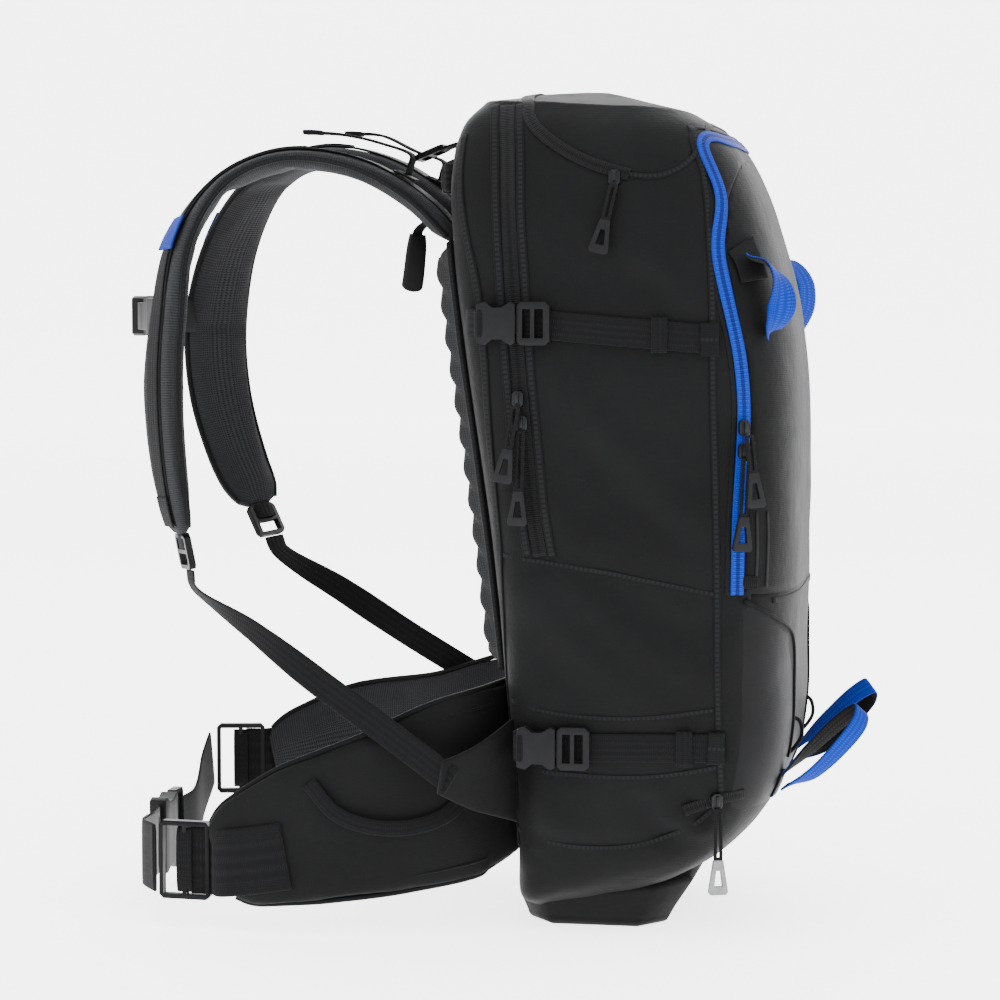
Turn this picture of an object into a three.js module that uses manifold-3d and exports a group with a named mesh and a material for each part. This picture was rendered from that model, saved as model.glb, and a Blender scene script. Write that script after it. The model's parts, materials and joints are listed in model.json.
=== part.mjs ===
// A 30 litre ski touring backpack, standing on its base. Millimetres, +Z up.
// The wearer is on the -X side and faces -X, so the wearer's left is -Y.
// The origin is the middle of the base panel's flat underside.
import * as THREE from 'three';
import { mergeVertices } from 'three/addons/utils/BufferGeometryUtils.js';
import Module from 'manifold-3d';

const wasm = await Module();
wasm.setup();

// Overall sizes of the packed bag.
const PACK_HEIGHT = 597;
const PACK_DEPTH = 246;
const PACK_WIDTH = 278;

// Walls and clearances.
const WALL = 4;
const GAP = 0.4;
const LINER_GAP = 1;

// Base panel, frame and padding.
const BASE_LENGTH = 100;
const BASE_WIDTH = 140;
const BASE_THICK = 11;
const BASE_GAP = 1.5;
const PANEL_THICK = 6;
const POCKET_DEPTH = 52;
const DIVIDER_THICK = 2;
const SHEET_THICK = 2;
const SHEET_WIDTH = 168;
const ROD_DIAMETER = 5;
const ROD_INSET = 14;
const ROD_GAP = 1.2;
const BACK_PAD_THICK = 15;
const BACK_PAD_WIDTH = 204;

// Harness.
const STRAP_WIDTH = 62;
const STRAP_THICK = 14;
const WING_THICK = 15;
const WEB = 20;
const WAIST_WEB = 48;
const WEB_THICK = 1.6;
const WAIST_WEB_THICK = 2.2;
const WEB_LIFT = 1;
const ZIP_WIDTH = 7;
const ZIP_THICK = 1.6;

// Side release buckles.
const BUCKLE_THICK = 8;
const BUCKLE_LENGTH = 27;
const FRAME_LENGTH = 23;
const PRONG_LENGTH = 17;
const WAIST_BUCKLE_THICK = 13;
const STERNUM_BUCKLE_THICK = 9;

// Zip sliders and their pulls.
const SLIDER_LENGTH = 11;
const SLIDER_WIDTH = 8;
const SLIDER_THICK = 3.2;
const PULL_THICK = 2.6;
const PULL_TIP = 24;

const BLACK = 0x1b1c1e;
const CHARCOAL = 0x26282b;
const PLASTIC = 0x333538;
const BLUE = 0x0a5fd0;
const GREY = 0x6f7478;

const V = (x, y, z) => new THREE.Vector3(x, y, z);
const pack = new THREE.Group();
const meshes = {};

function addMesh(name, geometry, colour, roughness = 0.85, metalness = 0) {
  const material = new THREE.MeshStandardMaterial({ color: colour, roughness, metalness });
  const mesh = new THREE.Mesh(geometry, material);
  mesh.name = name;
  pack.add(mesh);
  meshes[name] = mesh;
  return mesh;
}

// ---------------------------------------------------------------- solids

function closed(geometry) {
  const bare = geometry.clone();
  bare.deleteAttribute('normal');
  bare.deleteAttribute('uv');
  return mergeVertices(bare, 1e-4);
}

function toSolid(geometry) {
  const bare = closed(geometry);
  return new wasm.Manifold(new wasm.Mesh({
    numProp: 3,
    vertProperties: new Float32Array(bare.attributes.position.array),
    triVerts: new Uint32Array(bare.index.array),
  }));
}

function toGeometry(solid) {
  const mesh = solid.getMesh();
  const geometry = new THREE.BufferGeometry();
  geometry.setAttribute('position', new THREE.BufferAttribute(mesh.vertProperties, 3));
  geometry.setIndex(new THREE.BufferAttribute(mesh.triVerts, 1));
  return geometry;
}

function warp(geometry, move) {
  const position = geometry.attributes.position;
  const point = new THREE.Vector3();
  for (let i = 0; i < position.count; i++) {
    move(point.fromBufferAttribute(position, i));
    position.setXYZ(i, point.x, point.y, point.z);
  }
  return closed(geometry);
}

function box(x0, x1, y0, y1, z0, z1) {
  const geometry = new THREE.BoxGeometry(x1 - x0, y1 - y0, z1 - z0);
  return geometry.translate((x0 + x1) / 2, (y0 + y1) / 2, (z0 + z1) / 2);
}

// One coordinate of a squared-off circle.
function squared(value, power) {
  const size = Math.abs(value);
  return size < 1e-6 ? 0 : Math.sign(value) * size ** (2 / power);
}

// A band along a route: width runs along the across vectors, thickness square to both.
// Four sides give flat webbing, more sides a soft rounded pad.
function band(route, across, width, thick, { steps = 12, sides = 4 } = {}) {
  const curve = new THREE.CatmullRomCurve3(route);
  const sideways = across.length > 1 ? new THREE.CatmullRomCurve3(across) : null;
  const flat = sides === 4;
  const geometry = new THREE.CylinderGeometry(1, 1, 1, sides, steps, false, flat ? Math.PI / 4 : 0);
  return warp(geometry, (p) => {
    const s = p.y + 0.5;
    const tangent = curve.getTangent(s);
    const w = (sideways ? sideways.getPoint(s) : across[0]).clone();
    w.addScaledVector(tangent, -w.dot(tangent)).normalize();
    const n = new THREE.Vector3().crossVectors(w, tangent);
    const a = flat ? p.x * Math.SQRT1_2 : squared(p.x, 3.2) / 2;
    const b = flat ? p.z * Math.SQRT1_2 : squared(p.z, 3.2) / 2;
    const wide = typeof width === 'function' ? width(s) : width;
    const deep = typeof thick === 'function' ? thick(s) : thick;
    p.copy(curve.getPoint(s)).addScaledVector(w, a * wide).addScaledVector(n, b * deep);
  });
}

// Full size along the middle, drawn in over the last few percent of each end.
const endRound = (full, startShare, endShare, reach = 0.08) => (s) => {
  const near = Math.min(1, s / reach);
  const far = Math.min(1, (1 - s) / reach);
  const start = startShare + (1 - startShare) * Math.sqrt(1 - (1 - near) ** 2);
  const end = endShare + (1 - endShare) * Math.sqrt(1 - (1 - far) ** 2);
  return full(s) * Math.min(start, end);
};

// A plate drawn in the X-Z plane and extruded along Y about y = 0.
function plate(points, thick) {
  const shape = new THREE.Shape(points.map(([x, z]) => new THREE.Vector2(x, z)));
  const geometry = new THREE.ExtrudeGeometry(shape, { depth: thick, bevelEnabled: false });
  return geometry.translate(0, 0, -thick / 2).rotateX(Math.PI / 2);
}

const rectangle = (x0, x1, z0, z1) => [[x0, z0], [x1, z0], [x1, z1], [x0, z1]];

// A rectangle with its corners cut, as moulded frames have.
function softRectangle(x0, x1, z0, z1, cut) {
  return [[x0 + cut, z0], [x1 - cut, z0], [x1, z0 + cut], [x1, z1 - cut],
    [x1 - cut, z1], [x0 + cut, z1], [x0, z1 - cut], [x0, z0 + cut]];
}

// ---------------------------------------------------------------- bag body

// Levels from the bottom to the top, each a slanted section: height and reach of its back
// edge, height and reach of its front edge, and its half width, in shares of the pack.
// The lowest back edge sits just above the base panel.
const LEVELS = [
  [(BASE_THICK + BASE_GAP) / PACK_HEIGHT, -0.122, 0.045, 0.252, 0.331],
  [0.038, -0.148, 0.090, 0.440, 0.424],
  [0.100, -0.151, 0.145, 0.565, 0.460],
  [0.186, -0.159, 0.214, 0.629, 0.482],
  [0.338, -0.191, 0.350, 0.644, 0.496],
  [0.507, -0.240, 0.515, 0.650, 0.500],
  [0.676, -0.301, 0.679, 0.638, 0.496],
  [0.806, -0.341, 0.797, 0.583, 0.478],
  [0.892, -0.350, 0.879, 0.516, 0.450],
  [0.951, -0.324, 0.938, 0.430, 0.396],
  [0.981, -0.262, 0.969, 0.318, 0.331],
];
const backEdge = new THREE.CatmullRomCurve3(
  LEVELS.map(([z, x, , , half]) => V(x * PACK_DEPTH, half * PACK_WIDTH, z * PACK_HEIGHT)));
const frontEdge = new THREE.CatmullRomCurve3(
  LEVELS.map(([, , z, x]) => V(x * PACK_DEPTH, 0, z * PACK_HEIGHT)));
const BACK_SQUARENESS = 7;
const FRONT_SQUARENESS = 4;

function bagBody(inset, around = 24, levels = 13) {
  const geometry = new THREE.CylinderGeometry(1, 1, 1, around, levels);
  const middle = PACK_HEIGHT / 2;
  const shrink = (middle - inset) / middle;
  return warp(geometry, (p) => {
    const s = p.y + 0.5;
    const back = backEdge.getPoint(s);
    const front = frontEdge.getPoint(s);
    const half = back.y - inset;
    const reach = (front.x - back.x) / 2 - inset;
    const centre = (front.x + back.x) / 2;
    const power = p.x < 0 ? BACK_SQUARENESS : FRONT_SQUARENESS;
    const along = squared(p.x, power);
    const onAxis = Math.abs(p.x) + Math.abs(p.z) < 1e-6;
    const crown = onAxis && s > 0.5 ? PACK_HEIGHT * 0.025 : 0;
    const z = THREE.MathUtils.lerp(back.z, front.z, (along + 1) / 2) + crown;
    p.set(centre + reach * along, -half * squared(p.z, power), middle + (z - middle) * shrink);
  });
}

const outerGeometry = bagBody(0);
const innerGeometry = bagBody(WALL);
const bothFaces = new THREE.MeshBasicMaterial({ side: THREE.DoubleSide });
const outerSkin = new THREE.Mesh(outerGeometry, bothFaces);
const innerSkin = new THREE.Mesh(innerGeometry, bothFaces);
const FAR_OFF = 1000;
const ray = new THREE.Raycaster();

// Where a line from outside meets a skin: on its side, its back or its front.
function meet(skin, from, towards) {
  ray.set(from, towards);
  const hits = ray.intersectObject(skin);
  return hits[0].point;
}
const sideY = (x, z) => meet(outerSkin, V(x, -FAR_OFF, z), V(0, 1, 0)).y;
const backX = (y, z, skin = outerSkin) => meet(skin, V(-FAR_OFF, y, z), V(1, 0, 0)).x;
// A piece cut back to leave clearance to the bag it lies on.
const clearOfBag = (solid, gap = GAP) => solid.subtract(toSolid(bagBody(-gap)));
const frontX = (y, z) => meet(outerSkin, V(FAR_OFF, y, z), V(-1, 0, 0)).x;

// Heights and reaches on the bag are shares of the pack, so they follow it.
const up = (z) => (z / 597) * PACK_HEIGHT;
const out = (x) => (x / 246) * PACK_DEPTH;
const wide = (y) => (y / 278) * PACK_WIDTH;

// A slab across the whole bag, drawn in side view.
const slab = (points) => toSolid(plate(points, PACK_WIDTH * 2));

// The blue zip's line up the front of the side, and the front panel ahead of it.
const FOLD_Z = up(243);
const TOP_ZIP_Z = up(551);
const ZIP_LINE = [[127, 243], [128, 300], [131, 370], [128, 405],
  [119, 445], [112, 482], [113, 515], [120, 551]];
function frontSlab(grow) {
  const line = new THREE.CatmullRomCurve3(ZIP_LINE.map(([x, z]) => V(out(x) - grow, 0, up(z))));
  const points = line.getPoints(14).map((p) => [p.x, p.z]);
  points[0][1] -= grow;
  points[points.length - 1][1] += grow;
  points.push([FAR_OFF, TOP_ZIP_Z + grow], [FAR_OFF, FOLD_Z - grow]);
  return slab(points);
}

// The top pocket's seam: down from the crown, then forward, then up at the front.
const POCKET_LINE = [[-30, 575], [-18, 562], [5, 547], [36, 534], [68, 531], [86, 541], [94, 560]];
function topSlab(grow) {
  const points = POCKET_LINE.map(([x, z]) => [out(x), up(z) - grow]);
  points.unshift([out(-30) - grow, FAR_OFF]);
  points[1][0] -= grow;
  points[points.length - 1][0] += grow;
  points.push([out(94) + grow, FAR_OFF]);
  return slab(points);
}

function bag() {
  const outer = toSolid(outerGeometry);
  const inner = toSolid(innerGeometry);
  const cavity = inner.subtract(topSlab(WALL + GAP));
  const shell = outer.subtract(topSlab(GAP)).subtract(cavity).subtract(frontSlab(GAP));
  const panel = outer.subtract(toSolid(bagBody(PANEL_THICK))).intersect(frontSlab(0));
  addMesh('main_shell', toGeometry(shell), BLACK);
  addMesh('front_panel', toGeometry(panel), BLACK);
  addMesh('top_pocket', toGeometry(outer.intersect(topSlab(0))), CHARCOAL);
}

// The zip band that frames the front panel, an inverted U on the shell's side of the cut.
function frontZip() {
  const raised = toSolid(bagBody(-GAP - ZIP_THICK)).subtract(toSolid(bagBody(-GAP)));
  const aboveFold = toSolid(box(-FAR_OFF, FAR_OFF, -FAR_OFF, FAR_OFF, FOLD_Z + ZIP_WIDTH, FAR_OFF));
  const strip = raised.intersect(frontSlab(ZIP_WIDTH).subtract(frontSlab(GAP))).intersect(aboveFold);
  addMesh('front_zip', toGeometry(strip), BLUE, 0.6);
}

// The sheet between the main compartment and the front tool pocket.
const DIVIDER_X = out(160) - PANEL_THICK - POCKET_DEPTH;
function divider() {
  const room = toSolid(bagBody(WALL + LINER_GAP)).subtract(topSlab(WALL + GAP + LINER_GAP));
  const sheet = box(DIVIDER_X - DIVIDER_THICK, DIVIDER_X, -FAR_OFF, FAR_OFF, up(50), up(520));
  addMesh('divider', toGeometry(room.intersect(toSolid(sheet))), CHARCOAL);
}

// A sheet that follows the back of the bag, between two distances from it.
function onBack(skin, halfWidth, z0, z1, near, far, { across = 4, high = 9, crown = 0 } = {}) {
  const geometry = new THREE.BoxGeometry(1, 1, 1, 1, across, high);
  return warp(geometry, (p) => {
    const y = p.y * 2 * halfWidth;
    const z = THREE.MathUtils.lerp(z0, z1, p.z + 0.5);
    const edge = Math.max(Math.abs(p.y * 2) ** 4, Math.abs(p.z * 2) ** 10);
    const depth = p.x < 0 ? far * (1 - crown * edge) : near;
    p.set(backX(y, z, skin) - depth, y, z);
  });
}

function frame() {
  const sheet = onBack(innerSkin, SHEET_WIDTH / 2, up(70), up(520), -LINER_GAP - SHEET_THICK, -LINER_GAP);
  const sheetMesh = addMesh('frame_sheet', sheet, GREY, 0.5);
  const rodAt = (y, z) => {
    const face = meet(sheetMesh, V(FAR_OFF, y, z), V(-1, 0, 0)).x;
    return V(face + ROD_GAP + ROD_DIAMETER / 2, y, z);
  };
  const half = SHEET_WIDTH / 2 - ROD_INSET;
  const heights = [90, 180, 280, 380, 460];
  const left = heights.map((z) => rodAt(-half, up(z)));
  const right = heights.toReversed().map((z) => rodAt(half, up(z)));
  const bend = [rodAt(-half + 8, up(498)), rodAt(-half + 36, up(510)), rodAt(half - 36, up(510)),
    rodAt(half - 8, up(498))];
  const path = new THREE.CatmullRomCurve3([...left, ...bend, ...right]);
  const ring = new THREE.Shape().absarc(0, 0, ROD_DIAMETER / 2, 0, Math.PI * 2);
  const settings = { steps: 34, extrudePath: path, curveSegments: 3, bevelEnabled: false };
  const rod = new THREE.ExtrudeGeometry(ring, settings);
  addMesh('frame_rod', closed(rod), 0xb8bcc0, 0.35, 0.9);
}

function backPad() {
  const pad = onBack(outerSkin, BACK_PAD_WIDTH / 2, up(186), up(470), GAP, GAP + BACK_PAD_THICK,
    { across: 8, high: 8, crown: 0.45 });
  addMesh('back_pad', toGeometry(clearOfBag(toSolid(pad))), 0x4a4d50, 0.9);
}

function basePanel() {
  const half = BASE_LENGTH / 2;
  const outline = softRectangle(-half, half, -BASE_WIDTH / 2, BASE_WIDTH / 2, 18);
  const shape = new THREE.Shape(outline.map(([x, y]) => new THREE.Vector2(x, y)));
  const foot = new THREE.ExtrudeGeometry(shape, { depth: BASE_THICK, bevelEnabled: false });
  addMesh('base_panel', closed(foot), BLACK, 0.6);
}

// ---------------------------------------------------------------- moulded parts

// Slots right through a moulded plate, each from x0 to x1 and as wide as the webbing.
function cutSlots(body, slots, width, thick) {
  return slots.reduce((rest, [x0, x1]) => rest.subtract(
    toSolid(box(x0, x1, -thick, thick, -width / 2, width / 2))), body);
}

// A strap frame with two slots and a middle bar, in the X-Z plane, its length along X.
function ladderFrame(web, length, thick) {
  const half = web / 2 + 4;
  const slot = (length - 9) / 2;
  const body = toSolid(plate(softRectangle(-length / 2, length / 2, -half, half, 3), thick));
  return toGeometry(cutSlots(body, [[-slot - 1.5, -1.5], [1.5, slot + 1.5]], web + 1, thick));
}

// The socket half of a side release buckle: its mouth is at x = 0 and its web bar at -X.
function buckleSocket(web, thick, length = BUCKLE_LENGTH) {
  const half = web / 2 + 5;
  const waist = half - 4;
  const outline = [[-length, -half + 2], [-length + 6, -half], [-length * 0.6, -waist],
    [-length * 0.35, -waist], [-3, -half], [0, -half + 2], [0, half - 2], [-3, half],
    [-length * 0.35, waist], [-length * 0.6, waist], [-length + 6, half], [-length, half - 2]];
  const throat = box(-PRONG_LENGTH - 1, 1, -thick / 4 - 0.6, thick / 4 + 0.6, -waist + 2.5, waist - 2.5);
  return toSolid(plate(outline, thick)).subtract(toSolid(throat));
}

// The plug half: two prongs and a tongue in the throat, and a ladder frame outside it.
function bucklePlug(web, thick) {
  const half = web / 2 + 5;
  const arm = web / 2 - 3;
  const start = GAP + 0.4;
  const end = start + FRAME_LENGTH;
  const block = toSolid(plate(softRectangle(start, end, -half, half, 3), thick * 0.55));
  const body = cutSlots(block, [[start + 4, start + 9.5], [start + 12.5, start + 18.5]], web, thick);
  const inner = arm - 3.4;
  const tongue = 1.3;
  const tip = -PRONG_LENGTH;
  const fork = [[start + 1, -arm], [start + 1, arm], [tip + 4, arm], [tip, arm - 2],
    [tip, inner - 1], [-3, inner], [-3, tongue], [tip + 2, tongue], [tip + 2, -tongue],
    [-3, -tongue], [-3, -inner], [tip, 1 - inner], [tip, 2 - arm], [tip + 4, -arm]];
  return body.add(toSolid(plate(fork, thick * 0.4)));
}

// Side compression straps: the socket on a short anchor web, the plug, and the web it rides on.
const STRAP_HEIGHT_UPPER = up(429);
const STRAP_HEIGHT_LOWER = up(135);
const SIDE_STRAPS = [
  { level: 'upper', z: STRAP_HEIGHT_UPPER, mouth: out(-30), tail: out(-66), end: out(106), drop: 11 },
  { level: 'lower', z: STRAP_HEIGHT_LOWER, mouth: out(-2), tail: out(-31), end: out(112), drop: -2 },
];

function sideStrap({ level, z, mouth, tail, end, drop }, side) {
  const name = side < 0 ? 'left' : 'right';
  const face = sideY(mouth, z) - GAP - WEB_THICK - WEB_LIFT;
  const middle = face - GAP - BUCKLE_THICK / 2;
  const routeY = (x) => sideY(x, z) - GAP - WEB_THICK / 2 - WEB_LIFT;
  const turned = (solid) => (side < 0 ? solid : solid.mirror([0, 1, 0]));
  const socket = buckleSocket(WEB, BUCKLE_THICK).translate([mouth, middle, z]);
  const bend = V(mouth - BUCKLE_LENGTH - 4, (middle + routeY(tail)) / 2, z);
  const anchorRoute = [V(mouth - BUCKLE_LENGTH + 2, middle, z), bend, V(tail, routeY(tail), z)];
  const anchor = toSolid(band(anchorRoute, [V(0, 0, 1)], WEB, WEB_THICK, { steps: 5 }));
  const whole = clearOfBag(socket.add(anchor));
  const plug = bucklePlug(WEB, BUCKLE_THICK).translate([mouth, middle, z]);
  const start = mouth + 6;
  const stations = [0, 0.2, 0.4, 0.6, 0.8, 1].map((t) => THREE.MathUtils.lerp(start, end, t));
  const route = stations.map((x, i) => V(x, routeY(x), z - (drop * i) / 5));
  const web = band(route, [V(0, 0, 1)], WEB, WEB_THICK, { steps: 10 });
  const trimmed = clearOfBag(toSolid(web));
  addMesh(`${level}_side_socket_${name}`, toGeometry(turned(whole)), PLASTIC, 0.5);
  addMesh(`${level}_side_plug_${name}`, toGeometry(turned(plug)), PLASTIC, 0.5);
  addMesh(`${level}_side_web_${name}`, toGeometry(turned(trimmed)), BLACK);
}

// ---------------------------------------------------------------- zips

// Each slider sits on the left side at x, z. Its pull hangs from it, leaning by some degrees,
// and where two sliders meet the upper pull lies over the lower one.
const SLIDERS = [
  { name: 'main_zip_upper', x: out(-29), z: up(377), pull: 54, lean: 10, over: 3.4, lift: 1.2 },
  { name: 'main_zip_lower', x: out(-26), z: up(360), pull: 66, lean: 2, over: 0, lift: 1.2 },
  { name: 'front_zip_upper', x: out(127), z: up(358), pull: 50, lean: -5, over: 3.4, lift: 4 },
  { name: 'front_zip_lower', x: out(127), z: up(342), pull: 64, lean: 3, over: 0, lift: 4 },
  { name: 'top_zip', x: out(36), z: up(529), pull: 50, lean: 12, over: 0.6, lift: 1.2 },
  { name: 'base_zip', x: out(109), z: up(99), pull: 60, lean: 0, over: 0, lift: 1.6 },
];

function sliderBody() {
  const body = softRectangle(-SLIDER_WIDTH / 2, SLIDER_WIDTH / 2, -SLIDER_LENGTH / 2, SLIDER_LENGTH / 2, 2);
  const bridge = box(-1.2, 1.2, -SLIDER_THICK / 2 - 2.4, 0, -3, 4);
  return toSolid(plate(body, SLIDER_THICK)).add(toSolid(bridge));
}

// A cord loop that ends in a moulded tip with a window; it hangs down from the origin.
function zipPull(length) {
  const neck = length - PULL_TIP;
  const tip = [[-3.5, -neck], [3.5, -neck], [7, 2 - length], [5.5, -length], [-5.5, -length],
    [-7, 2 - length]];
  const window = [[-1.6, -neck - 7], [1.6, -neck - 7], [3, -neck - 18], [-3, -neck - 18]];
  const tipPlate = toSolid(plate(tip, PULL_THICK + 1)).subtract(toSolid(plate(window, PULL_THICK * 2)));
  const loop = toSolid(plate(rectangle(-3, 3, -neck - 2, 0), PULL_THICK));
  const eye = toSolid(box(-1, 1, -PULL_THICK, PULL_THICK, -neck + 2, -2));
  return tipPlate.add(loop.subtract(eye));
}

// How the bag's left side turns and leans just below a slider, in degrees.
function slopeAt(x, z, reach) {
  const turn = Math.atan2(sideY(x + 4, z) - sideY(x - 4, z), 8);
  const lean = Math.atan2(sideY(x, z) - sideY(x, z - reach), reach);
  return { turn: THREE.MathUtils.radToDeg(turn), lean: Math.max(0, THREE.MathUtils.radToDeg(lean)) };
}

function zipSliders() {
  for (const { name, x, z, pull, lean, over, lift } of SLIDERS) {
    const slope = slopeAt(x, z, pull / 2);
    const y = sideY(x, z) - lift - SLIDER_THICK / 2;
    const slider = sliderBody().rotate([-slope.lean, 0, slope.turn]).translate([x, y, z]);
    addMesh(`${name}_slider`, toGeometry(slider), PLASTIC, 0.4, 0.4);
    const clear = SLIDER_THICK / 2 + 2 * GAP + PULL_THICK / 2 + 0.4 + over;
    const hung = zipPull(pull).rotate([-slope.lean, lean, 0]).rotate([0, 0, slope.turn]);
    const hook = V(0, -clear, 0).applyAxisAngle(V(0, 0, 1), THREE.MathUtils.degToRad(slope.turn));
    const at = hook.add(V(x, y, z - SLIDER_LENGTH / 2 + 1));
    addMesh(`${name}_pull`, toGeometry(hung.translate(at.toArray())), PLASTIC, 0.6);
  }
}

// ---------------------------------------------------------------- front details

// A hook-and-loop tool holder: a wide band curled over itself, on the panel's side corner.
function toolHolder(side) {
  const name = side < 0 ? 'left' : 'right';
  const z = up(474);
  const y = wide(-112);
  const skin = frontX(y, z) + 1.2;
  const route = [V(skin, y, z), V(skin + 12, y - 3, z - 4), V(skin + 21, y - 4, z - 16),
    V(skin + 22, y - 2, z - 34), V(skin + 15, y, z - 48), V(skin + 8, y + 1, z - 52)];
  const holder = toSolid(band(route, [V(0.45, -0.9, 0)], 25, 2, { steps: 14 }));
  const clear = clearOfBag(holder);
  addMesh(`tool_holder_${name}`, toGeometry(side < 0 ? clear : clear.mirror([0, 1, 0])), BLUE, 0.8);
}

// Ice axe loops at the foot of the front: a long loop of webbing out of a short seam.
const AXE_LOOP_Z = up(104);
const AXE_LOOP_SPREAD = wide(64);
function axeLoop(side) {
  const name = side < 0 ? 'left' : 'right';
  const y = side * AXE_LOOP_SPREAD;
  const x = frontX(y, AXE_LOOP_Z) + 3;
  const z = AXE_LOOP_Z;
  const route = [V(x, y, z + 4), V(x + 20, y, z + 24), V(x + 44, y, z + 47), V(x + 56, y, z + 52),
    V(x + 58, y, z + 42), V(x + 44, y, z + 22), V(x + 22, y, z + 4), V(x + 2.5, y, z - 4)];
  const loop = toSolid(band(route, [V(0, 1, 0)], 16, 2, { steps: 24 }));
  const clear = clearOfBag(loop);
  addMesh(`axe_loop_${name}`, toGeometry(clear), BLUE, 0.8);
}

// ---------------------------------------------------------------- shoulder harness

const ROOT_Z = up(487);
const ROOT_Y = 60;
const ROOT_X = backX(0, ROOT_Z) - GAP - 2;

// Offsets from the strap's root: forward over the shoulder, down the chest to the strap's end.
const STRAP_LEFT = [[0, 0, 0], [-30, 2, 29], [-72, 6, 52], [-124, 10, 58], [-168, 17, 40], [-196, 29, 0],
  [-206, 36, -58], [-208, 39, -112], [-204, 38, -165], [-196, 35, -209]];
const STRAP_RIGHT = [[0, 0, 0], [-30, 2, 29], [-72, 5, 56], [-124, 8, 67], [-172, 15, 50], [-205, 26, 6],
  [-222, 35, -56], [-220, 36, -112], [-205, 33, -164], [-186, 26, -201]];
const STRAP_ACROSS = [[0, 1], [0.02, 1], [0.05, 1], [0.1, 1], [0.25, 0.95], [0.45, 0.88],
  [0.6, 0.8], [0.62, 0.78], [0.58, 0.8], [0.5, 0.85]];

function strapRoute(side) {
  const offsets = side < 0 ? STRAP_LEFT : STRAP_RIGHT;
  return offsets.map(([dx, dy, dz]) => V(ROOT_X + dx, side * (ROOT_Y + dy), ROOT_Z + dz));
}

function shoulderStrap(side) {
  const name = side < 0 ? 'left' : 'right';
  const route = strapRoute(side);
  const across = STRAP_ACROSS.map(([x, y]) => V(x, side * y, 0));
  const width = endRound((s) => STRAP_WIDTH * (1 - 0.14 * s), 0.9, 0.45, 0.07);
  const thick = endRound(() => STRAP_THICK, 0.45, 0.5, 0.06);
  const strap = band(route, across, width, thick, { steps: 20, sides: 10 });
  addMesh(`shoulder_strap_${name}`, strap, CHARCOAL);
}

const frameAt = (along, across, at) => {
  const x = along.clone().normalize();
  const z = across.clone().addScaledVector(x, -across.dot(x)).normalize();
  const y = new THREE.Vector3().crossVectors(z, x);
  return new THREE.Matrix4().makeBasis(x, y, z).setPosition(at);
};

// The lower end of each strap: a ladder lock, and the web from it to the bag's lower corner.
const ANCHOR_Z = up(115);
const ANCHOR_X = out(-35);
const TIP_REACH = 34;
const TIP_Y_OUT = 62;
const LOCK_LENGTH = 26;
const LOCK_THICK = 5;

function strapEnd(side) {
  const name = side < 0 ? 'left' : 'right';
  const route = strapRoute(side);
  const end = route[route.length - 1];
  const along = end.clone().sub(route[route.length - 2]).normalize();
  const across = V(0.5, side * 0.85, 0);
  const centre = end.clone().addScaledVector(along, LOCK_LENGTH / 2 + GAP + 0.6);
  const lock = ladderFrame(WEB, LOCK_LENGTH, LOCK_THICK).applyMatrix4(frameAt(along, across, centre));
  addMesh(`strap_lock_${name}`, closed(lock), PLASTIC, 0.5);

  const wall = sideY(ANCHOR_X, ANCHOR_Z);
  const seam = V(ANCHOR_X, side * (-wall + GAP + 1.6), ANCHOR_Z);
  const tip = V(ANCHOR_X - TIP_REACH, side * (-wall + TIP_Y_OUT), ANCHOR_Z);
  const start = end.clone().addScaledVector(along, LOCK_LENGTH + GAP + 1.8);
  const leave = start.clone().addScaledVector(along, 12);
  const at = (t, sag) => leave.clone().lerp(tip, t).add(V(0, 0, -sag));
  const points = [start, leave, at(0.25, 0), at(0.5, 1), at(0.75, 0), tip];
  const flat = V(0.55, 0, 0.83);
  const twist = [across, across, V(0.55, side * 0.5, 0.5), flat, flat, flat];
  const web = toSolid(band(points, twist, WEB, WEB_THICK, { steps: 14 }));
  const wingRoute = [tip.clone().add(V(-6, 0, 3)), tip.clone().lerp(seam, 0.4), seam];
  const wingAcross = [V(0.25, 0, 1), V(0.1, 0, 1), V(0, 0, 1)];
  const wing = toSolid(band(wingRoute, wingAcross, (s) => 24 + 52 * s, 2.4, { steps: 5 }));
  const whole = clearOfBag(web.add(wing));
  addMesh(`lower_web_${name}`, toGeometry(whole), BLACK);
}

// Load lifters: a ladder lock on a short web off the bag's top edge, and the adjusting web.
function loadLifter(side) {
  const name = side < 0 ? 'left' : 'right';
  const y = side * 58;
  const bagTop = V(backX(side * 58, up(556)) - GAP - 1, y, up(556));
  const lockAt = bagTop.clone().add(V(-22, 0, -6));
  const tilt = V(-0.92, 0, -0.38);
  const frameGeometry = ladderFrame(WEB, 22, 4).applyMatrix4(frameAt(tilt, V(0, 1, 0), lockAt));
  const shortRoute = [[0, 1], [-7, -1], [-14, -4]].map(([dx, dz]) => bagTop.clone().add(V(dx, 0, dz)));
  const shortWeb = band(shortRoute, [V(0, 1, 0)], WEB - 1, WEB_THICK, { steps: 3 });
  const lock = clearOfBag(toSolid(frameGeometry).add(toSolid(shortWeb)));
  addMesh(`lifter_lock_${name}`, toGeometry(lock), PLASTIC, 0.5);

  const strapTop = STRAP_THICK / 2 + 3.2;
  const rise = side < 0 ? 0 : 6;
  const fold = lockAt.clone().add(V(-15, side * 2, -8));
  const above = (dx, dy, dz) => V(ROOT_X + dx, y + side * dy, ROOT_Z + strapTop + dz);
  const route = [above(-44, 4, 40), above(-37, 3, 38), fold, fold.clone().add(V(1, 0, 6)),
    above(-56, 5, 60), above(-82, 7, 66 + rise), above(-108, 9, 68 + rise)];
  addMesh(`lifter_web_${name}`, band(route, [V(0, 1, 0)], WEB - 1, 1.4, { steps: 26 }), BLACK);
}

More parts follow.
